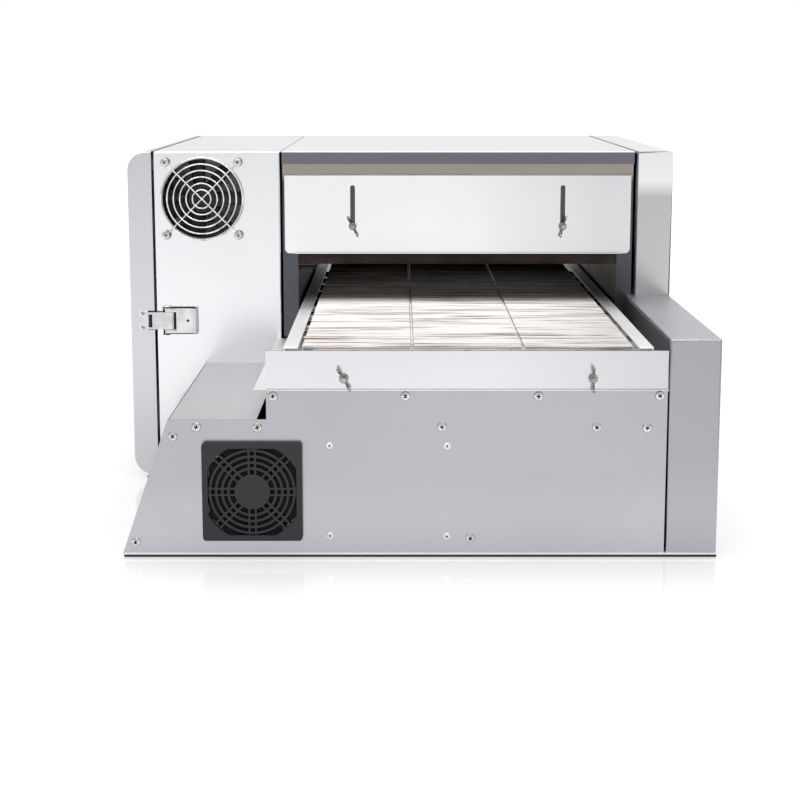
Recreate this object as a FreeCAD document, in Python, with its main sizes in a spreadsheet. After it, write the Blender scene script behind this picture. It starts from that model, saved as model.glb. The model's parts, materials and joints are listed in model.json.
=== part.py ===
import FreeCAD, Part
import math
import os
import re

import Sketcher

# Bench-top conveyor oven: a heated tunnel with a wire belt running through it, in millimetres.
# X runs across the belt, from the door at -X to the rear cover at +X. Y runs along the belt, and the near end
# is at -Y. Z is up, and the origin is the middle of the footprint, on the bench.

doc = FreeCAD.newDocument("conveyor_oven")

# Driving dimensions: one named value each, with what it measures.
DIMENSIONS = [
    ("overall_width", 790, "door skin to rear cover"),
    ("overall_height", 484, "bench to hood top"),
    ("overall_length", 1570, "end panel to end panel, along the belt"),
    ("body_length", 690, "tall middle part, along the belt"),
    ("wall", 1.5, "stainless sheet"),
    ("seam_gap", 3, "joint between two covers"),
    ("running_clearance", 0.05, "radial room of a pin or shaft in its bore"),
    ("part_clearance", 0.3, "room between pieces that fit into each other"),
    ("foot_height", 5, "low feet under the base"),
    ("foot_radius", 16, "feet"),
    ("foot_inset", 50, "foot centre from the base edge"),
    ("skirt_gap", 1.2, "bench to the lower edge of the end panels and the channel"),
    ("door_depth", 35, "front cover, a deep pan"),
    ("door_gap", 4, "dark joint between door and housing"),
    ("door_corner", 29, "round outer edges at the door's top and bottom"),
    ("housing_width", 182, "housing behind the door"),
    ("cover_depth", 53, "rear cover above the channel"),
    ("cover_corner", 4, "round outer edge of the rear cover"),
    ("channel_depth", 64, "low channel along the rear"),
    ("channel_height", 275, "bench to channel top"),
    ("ledge_height", 175, "bench to console ledge"),
    ("ledge_gap", 12, "console ledge to the deck's step"),
    ("console_foot", 49, "slanted console foot, in from the door skin"),
    ("console_slant", 59, "how far the slanted face leans back"),
    ("panel_corner", 4, "lower corner of the end panels"),
    ("panel_gap", 1.6, "end panel and end cover to the rear channel"),
    ("step_inset", 6, "deck step, in from the hood's seam"),
    ("deck_height", 211.5, "bench to conveyor deck"),
    ("deck_lip", 16, "deck edge over the ledge"),
    ("hood_flange", 18, "hood's folded end"),
    ("end_wall_inset", 10, "tunnel end wall behind the hood's end"),
    ("belt_height", 262, "bench to belt top"),
    ("belt_thickness", 2, "wire belt"),
    ("belt_pitch", 30, "cross wires of the belt net"),
    ("belt_strand", 5, "solid strip between two gaps of the net"),
    ("belt_columns", 3, "gaps across the belt"),
    ("tunnel_height", 74, "belt top to raised baffle"),
    ("tunnel_room", 34, "heater space above the raised baffle's edge"),
    ("arch_rise", 7, "tunnel mouth above the raised baffle's edge"),
    ("tunnel_side", 22, "hood side to tunnel liner"),
    ("liner_gap", 6, "rail to tunnel liner"),
    ("rail_gap", 3, "belt edge to rail"),
    ("rail_width", 18, "rail flange"),
    ("rail_rise", 3, "rail top above the belt"),
    ("rail_wall", 2, "rail sheet"),
    ("shaft_inset", 32, "shaft centre from the end panel's face"),
    ("shaft_radius", 7, "drive and idler shaft"),
    ("shaft_room", 2, "drive shaft in the channel's wall"),
    ("wrap_radius", 22, "outside of the belt round its shaft"),
    ("sprocket_width", 8, "sprocket disc"),
    ("sprocket_root", 16, "sprocket tooth root"),
    ("sprocket_teeth", 10, "teeth on a sprocket"),
    ("tooth_base", 6.8, "tooth width at its root"),
    ("tooth_crest", 3.4, "tooth width at its tip"),
    ("tooth_clearance", 0.4, "tooth tip to belt"),
    ("bearing_radius", 11, "shaft bearing bush"),
    ("bearing_flange", 15, "shaft bearing flange"),
    ("bearing_length", 12, "shaft bearing bush"),
    ("support_radius", 4, "belt support rods"),
    ("support_count", 4, "belt support rods between heaters and each end"),
    ("heater_radius", 5, "tubular heaters"),
    ("heater_count", 6, "heaters in each bank"),
    ("heater_pitch", 100, "heater spacing along the belt"),
    ("heater_drop", 14, "upper heaters below the liner's roof"),
    ("heater_end", 4.5, "heater beyond the liner"),
    ("baffle_height", 113, "near and far baffle"),
    ("baffle_lip", 6, "folded lower edge of the baffle"),
    ("baffle_corner", 7, "baffle's lower corners"),
    ("baffle_side_gap", 3, "baffle to the hood's sides"),
    ("slot_length", 56, "baffle slot"),
    ("slot_width", 7, "baffle slot"),
    ("slot_bottom", 36, "lower end of the slot above the baffle's edge"),
    ("stud_radius", 3, "threaded stud under a wing nut"),
    ("stud_spacing", 306, "studs across the belt"),
    ("stud_length", 19, "stud in front of its wall"),
    ("stud_plate", 12, "plate beyond its stud, behind the end cover"),
    ("nut_hub", 6, "wing nut hub radius"),
    ("nut_height", 8, "wing nut hub"),
    ("nut_taper", 1, "wing nut hub, narrower at its face"),
    ("nut_span", 33, "wing tip to wing tip"),
    ("nut_wing", 3, "wing thickness"),
    ("nut_rise", 8, "wing tips above the hub's face"),
    ("wing_foot", 4.8, "wing's root, from the nut's axis"),
    ("wing_root_rise", 3.2, "wing's lower edge above the seat, at its root"),
    ("wing_bend", 11.9, "where the wing's lower edge turns up, from the axis"),
    ("wing_bend_rise", 4.4, "that turn above the seat"),
    ("wing_tip", 11.5, "inner end of the wing's tip, from the axis"),
    ("wing_tip_drop", 0.8, "inner end of the tip below its outer end"),
    ("cover_lip", 3, "folded edges of the end cover"),
    ("end_cover_height", 49.5, "cover in front of the belt's end"),
    ("cover_stud_height", 15, "end cover stud above the deck"),
    ("fan_size", 120, "square fan frame"),
    ("fan_depth", 25, "fan frame"),
    ("fan_pitch", 105, "fan screw holes"),
    ("fan_screw", 2.2, "fan screw hole radius"),
    ("fan_bore", 57.5, "fan frame's round opening, radius"),
    ("fan_hub", 20, "impeller hub radius"),
    ("hub_setback", 3.5, "impeller hub behind the frame's face"),
    ("pin_setback", 7.5, "impeller pin's end behind the frame's face"),
    ("strut_depth", 3, "struts at the fan's back"),
    ("fan_blades", 7, "impeller blades"),
    ("fan_tip_gap", 1.5, "blade tip to frame"),
    ("blade_thickness", 2, "impeller blade"),
    ("blade_half", 10.5, "half of a blade, along its chord"),
    ("blade_pitch", 34, "blade angle in degrees"),
    ("fan_pin", 3, "impeller pin radius"),
    ("upper_fan_side", 113, "upper fan centre, in from the seam beside the hood"),
    ("upper_fan_drop", 68, "upper fan centre below the hood top"),
    ("lower_fan_side", 212, "lower fan centre, in from the door skin"),
    ("lower_fan_rise", 85, "lower fan centre above the bench"),
    ("guard_wire", 1.2, "wire guard, wire radius"),
    ("guard_rings", 6, "rings of the wire guard"),
    ("guard_outer", 59.4, "outer ring of the wire guard"),
    ("guard_step", 9.2, "ring spacing"),
    ("guard_offset", 7, "wire guard in front of the wall"),
    ("spoke_offset", 1.68, "crossing wires behind the rings, middle to middle"),
    ("guard_post", 3.6, "post under the wire guard's corner, radius"),
    ("filter_size", 124, "square filter guard"),
    ("filter_depth", 9, "filter guard"),
    ("filter_corner", 4.5, "filter guard's corners"),
    ("filter_window", 55, "half width of the filter guard's opening"),
    ("filter_hub", 22, "filter guard's round middle"),
    ("filter_ring", 3, "ring width of the filter guard"),
    ("filter_rings", 4, "rings of the filter guard, and rib pairs"),
    ("filter_ring_step", 7.6, "ring spacing of the filter guard"),
    ("filter_rib", 2.4, "rib width of the filter guard"),
    ("filter_rib_gap", 8, "ribs of a pair, middle to middle"),
    ("filter_bar_depth", 4.5, "rings and ribs, front to back"),
    ("filter_bar_level", 2.25, "rings and ribs in front of the panel"),
    ("latch_height", 238.5, "bench to latch middle"),
    ("latch_base_height", 41, "latch base plate"),
    ("latch_base_length", 51, "latch base plate"),
    ("latch_base_side", 8.5, "latch base, in from the housing's edge"),
    ("latch_ear", 2, "ears of the latch base"),
    ("latch_ear_reach", 4, "ears in front of the lever pivot"),
    ("latch_pin", 2, "lever pivot radius"),
    ("latch_pin_stand", 5, "lever pivot in front of the housing"),
    ("latch_pin_side", 6, "lever pivot, in from the base's edge"),
    ("latch_crank", 8, "lever pivot to claw pivot"),
    ("latch_shoulder", 6, "claw pivot to the lever's plate"),
    ("latch_boss", 3, "lever's round end, radius"),
    ("grip_curl", 3, "lever's curled grip, radius"),
    ("lever_hole", 2, "round hole in the lever, radius"),
    ("lever_hole_side", 14, "that hole, in from the grip's end"),
    ("claw_pin", 1.5, "claw pivot radius"),
    ("claw_boss", 3, "claw's round end, radius"),
    ("claw_height", 25, "claw strap"),
    ("claw_reach", 37, "claw strap beyond its pivot"),
    ("claw_bail", 2.4, "bar at the claw's end"),
    ("claw_window", 5.6, "window behind that bar"),
    ("claw_window_height", 19, "window behind that bar"),
    ("claw_thickness", 1.5, "claw strap"),
    ("keeper_height", 29, "keeper on the door"),
    ("keeper_side", 12, "keeper, in from the door skin"),
    ("keeper_length", 22, "keeper on the door"),
    ("keeper_hook", 2, "keeper's hook"),
    ("keeper_hook_side", 15.2, "hook, in from the keeper's edge"),
    ("hinge_pin", 3, "door hinge pin radius"),
    ("hinge_knuckle", 6, "door hinge knuckle radius"),
    ("hinge_height", 75, "door hinge"),
    ("hinge_inset", 60, "hinge end from the door's end"),
    ("hinge_leaf", 26, "hinge leaf"),
    ("plate_length", 300, "control plate"),
    ("plate_height", 92, "control plate"),
    ("plate_thickness", 2, "control plate"),
    ("plate_corner", 6, "control plate"),
    ("plate_border", 10, "control plate beyond the cut-out behind it"),
    ("plate_rise", 93, "control plate's middle, up the slanted face"),
    ("display_length", 92, "display window"),
    ("display_height", 38, "display window"),
    ("display_depth", 4, "display window"),
    ("display_inset", 34, "display, in from the cut-out behind the plate"),
    ("display_rim", 2, "display's rim behind the plate"),
    ("glass_rise", 3, "display window's face above the plate's back"),
    ("button_radius", 9, "push buttons"),
    ("button_height", 5, "push buttons, above the plate"),
    ("button_flange", 2, "collar behind the plate"),
    ("button_split", 15.3, "each push button, up or down from the plate's middle"),
    ("button_side", 40.5, "push buttons from the knob's middle"),
    ("knob_radius", 18, "speed knob"),
    ("knob_height", 17, "speed knob"),
    ("knob_shaft", 3, "speed knob's shaft radius"),
    ("knob_inset", 23.4, "knob's middle, in from the cut-out behind the plate"),
    ("knob_skirt", 4, "knob's wide skirt"),
    ("knob_step", 2, "slope from the skirt to the grip"),
    ("knob_grip", 14.4, "knob's grip at the skirt, radius"),
    ("knob_face", 13.5, "knob's face, radius"),
    ("spindle_length", 10.2, "knob's shaft in front of the plate"),
    ("rocker_length", 28, "rocker switch"),
    ("rocker_width", 20, "rocker switch"),
    ("rocker_inset", 15, "switch's middle, in from the cut-out behind the plate"),
    ("rocker_heel", 5.6, "half of the switch's lower edge"),
    ("rocker_crest", 4.8, "switch's raised end above the plate's back"),
    ("rocker_valley", 3.6, "switch's middle above the plate's back"),
    ("rocker_pin", 1.5, "switch's pivot radius"),
    ("rocker_depth", 2, "switch's pivot behind the plate's back"),
    ("rocker_cheek", 4, "cheeks beside the switch, behind the plate"),
    ("rocker_tilt", 8, "rocker switch, degrees to each side"),
    ("rocker_room", 1.5, "rocker switch in its opening"),
    ("motor_radius", 25, "drive motor"),
    ("motor_length", 110, "drive motor"),
    ("gearbox_side", 46, "drive gearbox, across"),
    ("gearbox_height", 62, "drive gearbox"),
    ("gland_radius", 12, "cable gland"),
    ("gland_bore", 5, "cable gland's bore"),
    ("gland_wall", 3, "cable gland's neck round its bore"),
    ("gland_nose", 9, "cable gland's outer end, radius"),
    ("gland_tail", 4.5, "cable gland behind its panel"),
    ("gland_side", 60, "cable gland, in from the rear channel"),
    ("gland_rise", 60, "cable gland above the bench"),
    ("gland_length", 16, "cable gland outside its panel"),
    ("supply_length", 200, "power supply"),
    ("supply_height", 110, "power supply"),
    ("supply_depth", 50, "power supply"),
    ("supply_rise", 73.5, "power supply above the base"),
    ("relay_width", 46, "relay"),
    ("relay_height", 60, "relay"),
    ("relay_depth", 32, "relay"),
    ("relay_count", 4, "relays on their heat sink"),
    ("relay_rise", 330, "relays above the base"),
    ("relay_pitch", 59.8, "relay spacing"),
    ("sink_depth", 16, "relays' heat sink"),
    ("sink_border", 15, "heat sink beyond the relays, up and down"),
    ("probe_radius", 2.5, "temperature probe"),
    ("probe_length", 24, "temperature probe into the tunnel"),
    ("probe_end", 6, "probe outside the liner"),
    ("probe_inset", 14, "probe behind the tunnel's end wall"),
    ("probe_rise", 52, "probe above the belt"),
]

sheet = doc.addObject("Spreadsheet::Sheet", "Sizes")
for row, (name, value, note) in enumerate(DIMENSIONS, start=1):
    sheet.set(f"A{row}", note)
    sheet.set(f"B{row}", str(value))
    sheet.setAlias(f"B{row}", name)
doc.recompute()

ALIASES = {name for name, _, _ in DIMENSIONS}


def bound(formula):
    return re.sub(r"[a-z_]+", lambda word: "Sizes." + word[0] if word[0] in ALIASES else word[0], formula)


def size(formula):
    return float(sheet.evalExpression(bound(formula)))


def tie(feature, target, formula):
    feature.setExpression(target, bound(formula))


def count(name):
    return int(round(size(name)))


# Places that several pieces share, each worked out from the sizes above.
X_SKIN = "(-overall_width / 2)"
X_DOOR = f"({X_SKIN} + door_depth)"
X_HOUSE = f"({X_DOOR} + door_gap)"
X_SEAM = f"({X_HOUSE} + housing_width)"
X_HOOD = f"({X_SEAM} + seam_gap)"
X_REAR = "(overall_width / 2)"
X_COVER = f"({X_REAR} - cover_depth)"
X_HOOD_END = f"({X_COVER} - seam_gap)"
X_CHANNEL = f"({X_REAR} - channel_depth)"
X_BELT = f"(({X_HOOD} + {X_HOOD_END}) / 2)"
X_STEP = f"({X_HOOD} + step_inset)"
X_PANEL = f"({X_CHANNEL} - panel_gap)"
X_FOOT = f"({X_SKIN} + console_foot)"
X_LEDGE = f"({X_FOOT} + console_slant)"
Y_BODY = "(body_length / 2)"
Y_END = "(overall_length / 2)"
Y_WALL = f"({Y_BODY} - end_wall_inset)"
Y_DECK = f"({Y_END} - wall)"
Y_SHAFT = f"({Y_END} - shaft_inset)"
Z_FLOOR = "(foot_height + wall)"
Z_SHAFT = "(belt_height - wrap_radius)"
Z_MOUTH = "(belt_height + tunnel_height)"
Z_LINER = f"({Z_MOUTH} + tunnel_room)"
Z_HEATER = f"({Z_LINER} - heater_drop)"
LEAN = "(console_slant / (ledge_height - foot_height))"
GLAND_NECK = "(gland_bore + gland_wall)"
X_UPPER_FAN = f"({X_SEAM} - upper_fan_side)"
Z_UPPER_FAN = "(overall_height - upper_fan_drop)"
X_LOWER_FAN = f"({X_SKIN} + lower_fan_side)"
X_GLAND = f"({X_CHANNEL} - gland_side)"
Y_CONSOLE = f"(-({Y_BODY} + {Y_END}) / 2)"
Y_PROBE = f"(-({Y_WALL} - wall - probe_inset))"
Z_PROBE = "(belt_height + probe_rise)"
Z_BAFFLE_STUD = f"({Z_MOUTH} + slot_bottom + slot_width / 2)"
Z_COVER_STUD = "(deck_height + cover_stud_height)"
LINER_HALF = f"(({X_HOOD_END} - {X_HOOD}) / 2 - tunnel_side)"
RAIL_OUTER = f"({LINER_HALF} - liner_gap)"
RAIL_INNER = f"({RAIL_OUTER} - rail_width)"
BELT_HALF = f"({RAIL_INNER} - rail_gap)"
BELT_WIDTH = f"(2 * {BELT_HALF})"
NEAR = -1
FAR = 1

PLANES = {"X": "YZ_Plane", "Y": "XZ_Plane", "Z": "XY_Plane"}
nodes = []


def add_node(piece, name):
    piece.Label = name
    nodes.append(piece)
    return piece


def new_body(name, is_node=True):
    body = doc.addObject("PartDesign::Body", name)
    return add_node(body, name) if is_node else body


def place(piece, x, y, z, turn=None):
    if turn is not None:
        piece.Placement = FreeCAD.Placement(FreeCAD.Vector(), turn)
    for letter, formula in zip("xyz", (x, y, z)):
        tie(piece, f"Placement.Base.{letter}", formula)
    return piece


def rectangle(left, low, right, high):
    return [(left, low), (right, low), (right, high), (left, high)]


# A sketch square to one axis. Its two directions are the other axes, in the order X, Y, Z.
# The plane square to Y faces -Y.
def new_sketch(body, axis, level):
    sketch = body.newObject("Sketcher::SketchObject", body.Name + "_outline")
    plane = next(f for f in body.Origin.OriginFeatures if f.Role == PLANES[axis])
    sketch.AttachmentSupport = [(plane, "")]
    sketch.MapMode = "FlatFace"
    tie(sketch, "AttachmentOffset.Base.z", f"-({level})" if axis == "Y" else level)
    return sketch


def pin_point(sketch, curve, end, across, up):
    for kind, formula in (("DistanceX", across), ("DistanceY", up)):
        rule = sketch.addConstraint(Sketcher.Constraint(kind, -1, 1, curve, end, size(formula)))
        tie(sketch, f"Constraints[{rule}]", formula)


def draw_polygon(sketch, corners):
    first = sketch.GeometryCount
    points = [FreeCAD.Vector(size(across), size(up), 0) for across, up in corners]
    total = len(points)
    sketch.addGeometry([Part.LineSegment(points[i], points[(i + 1) % total]) for i in range(total)], False)
    for i in range(total):
        sketch.addConstraint(Sketcher.Constraint("Coincident", first + i, 2, first + (i + 1) % total, 1))
    for i, (across, up) in enumerate(corners):
        pin_point(sketch, first + i, 1, across, up)


def draw_circle(sketch, across, up, radius):
    middle = FreeCAD.Vector(size(across), size(up), 0)
    curve = sketch.addGeometry(Part.Circle(middle, FreeCAD.Vector(0, 0, 1), size(radius)), False)
    pin_point(sketch, curve, 3, across, up)
    rule = sketch.addConstraint(Sketcher.Constraint("Radius", curve, size(radius)))
    tie(sketch, f"Constraints[{rule}]", radius)


# An outline is a list of corners, or a circle given as (across, up, radius).
def draw(sketch, outlines):
    for outline in outlines:
        if isinstance(outline, tuple):
            draw_circle(sketch, *outline)
        else:
            draw_polygon(sketch, outline)


def prism(body, axis, outlines, low, high):
    sketch = new_sketch(body, axis, high if axis == "Y" else low)
    draw(sketch, outlines)
    pad = body.newObject("PartDesign::Pad", body.Name + "_pad")
    pad.Profile = sketch
    tie(pad, "Length", f"({high}) - ({low})")
    return pad


def hollow(body, axis, outlines, low, high):
    doc.recompute()
    before = body.Shape.Volume
    sketch = new_sketch(body, axis, low if axis == "Y" else high)
    draw(sketch, outlines)
    pocket = body.newObject("PartDesign::Pocket", body.Name + "_pocket")
    pocket.Profile = sketch
    tie(pocket, "Length", f"({high}) - ({low})")
    doc.recompute()
    if not body.Shape.Volume < before:
        raise RuntimeError(f"a cut in {body.Label} removes nothing")
    return pocket


# A turned piece: the outline gives (distance along the axis, radius).
def turned(body, axis, outline):
    plane, line = {"X": ("Z", "H_Axis"), "Y": ("Z", "V_Axis"), "Z": ("Y", "V_Axis")}[axis]
    corners = outline if axis == "X" else [(radius, along) for along, radius in outline]
    sketch = new_sketch(body, plane, "0")
    draw(sketch, [corners])
    spin = body.newObject("PartDesign::Revolution", body.Name + "_turned")
    spin.Profile = sketch
    spin.ReferenceAxis = (sketch, [line])
    spin.Angle = 360
    return spin


def polar_copies(body, feature, role, copies):
    pattern = body.newObject("PartDesign::PolarPattern", body.Name + "_pattern")
    pattern.Originals = [feature]
    pattern.Axis = (next(f for f in body.Origin.OriginFeatures if f.Role == role), [""])
    pattern.Angle = 360
    tie(pattern, "Occurrences", copies)
    body.Tip = pattern
    return pattern


# Straight edges along one axis whose middle lies at the given places; a tuple names several.
def edges_at(direction, **places):
    wanted = {axis: f if isinstance(f, tuple) else (f,) for axis, f in places.items()}

    def at(edge, axis, choices):
        return any(abs(getattr(edge.CenterOfMass, axis) - size(f)) < 0.01 for f in choices)

    def fits(edge):
        run = edge.tangentAt(edge.FirstParameter)
        return abs(getattr(run, direction)) > 0.999 and all(at(edge, *item) for item in wanted.items())

    return fits


def round_edges(body, radius, fits):
    doc.recompute()
    tip = body.Tip
    names = [f"Edge{i}" for i, edge in enumerate(tip.Shape.Edges, start=1) if fits(edge)]
    fillet = body.newObject("PartDesign::Fillet", body.Name + "_fillet")
    fillet.Base = (tip, names)
    tie(fillet, "Radius", radius)


# Leaves a skin of the given thickness and opens the flat face at one place.
def shell(body, thickness, axis, level):
    doc.recompute()
    tip = body.Tip
    names = [
        f"Face{i}" for i, face in enumerate(tip.Shape.Faces, start=1)
        if abs(getattr(face.CenterOfMass, axis) - size(level)) < 0.01
    ]
    skin = body.newObject("PartDesign::Thickness", body.Name + "_skin")
    skin.Base = (tip, names)
    skin.Reversed = True
    tie(skin, "Value", thickness)


def new_box(name, length, width, height):
    box = doc.addObject("Part::Box", name)
    for target, formula in (("Length", length), ("Width", width), ("Height", height)):
        tie(box, target, formula)
    return box


TO_X = FreeCAD.Rotation(FreeCAD.Vector(0, 1, 0), 90)
TO_FAR = FreeCAD.Rotation(FreeCAD.Vector(1, 0, 0), -90)


# A round bar, along Z unless it is turned.
def new_bar(name, radius, height):
    bar = doc.addObject("Part::Cylinder", name)
    tie(bar, "Radius", radius)
    tie(bar, "Height", height)
    return bar


def new_tube(name, outer, inner, height):
    tube = doc.addObject("Part::Cut", name)
    tube.Base = new_bar(name + "_outer", outer, height)
    tube.Tool = new_bar(name + "_inner", inner, height)
    return tube


def fused(name, pieces):
    whole = doc.addObject("Part::MultiFuse", name)
    whole.Shapes = pieces
    return whole


def grouped(name, pieces):
    group = doc.addObject("Part::Compound", name)
    group.Links = pieces
    return add_node(group, name)


# The stretch of Y from one distance to a larger one, at the near or the far end.
def along(side, inner, outer):
    return (f"-({outer})", f"-({inner})") if side == NEAR else (inner, outer)


def end_name(side, name):
    return f"near_{name}" if side == NEAR else f"far_{name}"


# Casing: base, end panels, console covers, decks, channel, housing, door, hood and rear cover.
def base_and_feet():
    base = new_body("base_plate")
    front = f"{X_FOOT} + {LEAN} * wall + wall"
    prism(base, "Z", [rectangle(front, f"-{Y_DECK}", X_CHANNEL, Y_DECK)], "foot_height", Z_FLOOR)
    feet = []
    for column, x in enumerate((f"{front} + foot_inset", f"{X_CHANNEL} - foot_inset")):
        for row in (-1, 0, 1):
            foot = new_bar(f"foot_{column}_{row + 1}", "foot_radius", "foot_height")
            feet.append(place(foot, x, f"{row} * ({Y_END} - foot_inset)", "0"))
    grouped("feet", feet)


def end_panel(side):
    panel = new_body(end_name(side, "end_panel"))
    toe = f"{X_FOOT} - {LEAN} * (foot_height - skirt_gap)"
    outline = [
        (toe, "skirt_gap"), (X_PANEL, "skirt_gap"), (X_PANEL, "deck_height"),
        (X_STEP, "deck_height"), (X_STEP, "ledge_height"), (X_LEDGE, "ledge_height"),
    ]
    low, high = along(side, Y_DECK, Y_END)
    prism(panel, "Y", [outline], low, high)
    round_edges(panel, "panel_corner", edges_at("y", x=toe, z="skirt_gap"))
    if side == NEAR:
        hollow(panel, "Y", [(X_LOWER_FAN, "lower_fan_rise", "fan_bore")], low, high)
    else:
        hollow(panel, "Y", [(X_GLAND, "gland_rise", GLAND_NECK)], low, high)


def console_cover(side):
    cover = new_body(end_name(side, "console_cover"))
    foot = f"{X_FOOT} + {LEAN} * wall"
    edge = f"{X_STEP} - ledge_gap"
    under = "ledge_height - wall"
    outline = [
        (foot, Z_FLOOR), (f"{foot} + wall", Z_FLOOR),
        (f"{X_FOOT} + {LEAN} * ({under} - foot_height) + wall", under), (edge, under),
        (edge, "ledge_height"), (X_LEDGE, "ledge_height"),
    ]
    prism(cover, "Y", [outline], *along(side, Y_BODY, Y_DECK))
    if side == NEAR:
        half = "(plate_height / 2 - plate_border)"
        cos_lean = f"(1 / sqrt(1 + {LEAN} ^ 2))"
        middle = f"foot_height + plate_rise * {cos_lean}"
        window = rectangle(
            f"{Y_CONSOLE} - plate_length / 2 + plate_border", f"{middle} - {half} * {cos_lean}",
            f"{Y_CONSOLE} + plate_length / 2 - plate_border", f"{middle} + {half} * {cos_lean}",
        )
        hollow(cover, "X", [window], X_FOOT, f"{X_LEDGE} + wall")


def conveyor_deck(side):
    deck = new_body(end_name(side, "deck"), is_node=False)
    lip = f"{X_STEP} - deck_lip"
    under = "deck_height - wall"
    web = "ledge_height - ledge_gap"
    outline = [
        (lip, under), (X_STEP, under), (X_STEP, web), (f"{X_STEP} + wall", web),
        (f"{X_STEP} + wall", under), (X_CHANNEL, under), (X_CHANNEL, "deck_height"), (lip, "deck_height"),
    ]
    prism(deck, "Y", [outline], *along(side, Y_BODY, Y_DECK))
    return deck


def rear_channel():
    channel = new_body("rear_channel")
    prism(channel, "Y", [rectangle(X_CHANNEL, "skirt_gap", X_REAR, "channel_height")], f"-{Y_END}", Y_END)
    shell(channel, "wall", "z", "skirt_gap")
    hollow(channel, "X", [(Y_SHAFT, Z_SHAFT, "shaft_radius + shaft_room")], X_CHANNEL, f"{X_CHANNEL} + wall")


def left_housing():
    housing = new_body("left_housing")
    section = rectangle(X_HOUSE, Z_FLOOR, X_SEAM, "overall_height")
    prism(housing, "Y", [section], f"-{Y_BODY}", Y_BODY)
    shell(housing, "wall", "x", X_HOUSE)
    hollow(housing, "Y", [(X_UPPER_FAN, Z_UPPER_FAN, "fan_bore")], f"-{Y_BODY}", f"-{Y_BODY} + wall")


def door():
    pan = new_body("door")
    section = rectangle(X_SKIN, Z_FLOOR, X_DOOR, "overall_height")
    prism(pan, "Y", [section], f"-{Y_BODY}", Y_BODY)
    round_edges(pan, "door_corner", edges_at("y", x=X_SKIN))
    shell(pan, "wall", "x", X_DOOR)


def hood_top():
    hood = new_body("hood_top")
    under = "overall_height - wall"
    low = "overall_height - hood_flange"
    inner = f"{Y_BODY} - wall"
    outline = [
        (f"-{Y_BODY}", low), (f"-({inner})", low), (f"-({inner})", under), (inner, under), (inner, low),
        (Y_BODY, low), (Y_BODY, "overall_height"), (f"-{Y_BODY}", "overall_height"),
    ]
    prism(hood, "X", [outline], X_HOOD, X_HOOD_END)


def end_wall(side):
    wall = new_body(end_name(side, "end_wall"))
    left = f"{X_BELT} - {LINER_HALF}"
    right = f"{X_BELT} + {LINER_HALF}"
    arch = f"{Z_MOUTH} + arch_rise"
    top = "overall_height - wall"
    outline = [
        (X_HOOD, "deck_height"), (left, "deck_height"), (left, arch), (right, arch), (right, "deck_height"),
        (X_CHANNEL, "deck_height"), (X_CHANNEL, "channel_height"), (X_HOOD_END, "channel_height"),
        (X_HOOD_END, top), (X_HOOD, top),
    ]
    prism(wall, "Y", [outline], *along(side, f"{Y_WALL} - wall", Y_WALL))


def rear_cover():
    cover = new_body("rear_cover")
    section = rectangle(X_COVER, "channel_height", X_REAR, "overall_height")
    prism(cover, "Y", [section], f"-{Y_BODY}", Y_BODY)
    round_edges(cover, "cover_corner", edges_at("y", x=X_REAR, z="overall_height"))
    shell(cover, "wall", "z", "channel_height")


# Tunnel: liner, heaters and probe.
def heater_rows():
    total = count("heater_count")
    return [f"{i - (total - 1) / 2} * heater_pitch" for i in range(total)]


def tunnel_liner():
    liner = new_body("tunnel_liner")
    half = Y_WALL + " - wall"
    inside = rectangle(
        f"{X_BELT} - {LINER_HALF}", "deck_height", f"{X_BELT} + {LINER_HALF}", Z_LINER)
    outside = rectangle(
        f"{X_BELT} - {LINER_HALF} - wall", "deck_height - wall", f"{X_BELT} + {LINER_HALF} + wall",
        f"{Z_LINER} + wall")
    prism(liner, "Y", [outside, inside], f"-({half})", half)
    holes = [
        (y, z, "heater_radius + part_clearance") for y in heater_rows() for z in (Z_SHAFT, Z_HEATER)
    ]
    reach = f"{LINER_HALF} + wall"
    hollow(liner, "X", holes, f"{X_BELT} - ({reach})", f"{X_BELT} + {reach}")
    probe_hole = (Y_PROBE, Z_PROBE, "probe_radius + part_clearance")
    hollow(liner, "X", [probe_hole], f"{X_BELT} - ({reach})", f"{X_BELT} - {LINER_HALF}")


# Two banks of tubular heaters: one over the belt, one between its runs.
def heaters():
    reach = f"({LINER_HALF} + heater_end)"
    rods = []
    for bank, z in (("upper", Z_HEATER), ("lower", Z_SHAFT)):
        for i, y in enumerate(heater_rows()):
            rod = new_bar(f"{bank}_heater_{i}", "heater_radius", f"2 * {reach}")
            rods.append(place(rod, f"{X_BELT} - {reach}", y, z, TO_X))
    grouped("heaters", rods)


def probe():
    rod = add_node(new_bar("probe_rod", "probe_radius", "probe_length + probe_end"), "tunnel_probe")
    place(rod, f"{X_BELT} - {LINER_HALF} - probe_end", Y_PROBE, Z_PROBE, TO_X)


# Conveyor: rails, support rods, belt, shafts, bearings and motor.
def belt_rail(name, sign):
    rail = new_body(name, is_node=False)

    def x(distance):
        return f"{X_BELT} {sign} ({distance})"

    top = "belt_height + rail_rise"
    web = f"{RAIL_OUTER} - rail_wall"
    outline = [
        (x(RAIL_OUTER), "deck_height"), (x(RAIL_OUTER), top), (x(RAIL_INNER), top),
        (x(RAIL_INNER), f"{top} - rail_wall"), (x(web), f"{top} - rail_wall"),
        (x(web), "deck_height + rail_wall"), (x(RAIL_INNER), "deck_height + rail_wall"),
        (x(RAIL_INNER), "deck_height"),
    ]
    prism(rail, "Y", [outline], f"-{Y_DECK}", Y_DECK)
    holes = [(f"{end} * {Y_SHAFT}", Z_SHAFT, "bearing_radius + part_clearance") for end in (NEAR, FAR)]
    holes += [(y, Z_SHAFT, "heater_radius + part_clearance") for y in heater_rows()]
    low, high = sorted((x(RAIL_OUTER), x(web)), key=size)
    hollow(rail, "X", holes, low, high)
    return rail


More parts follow.
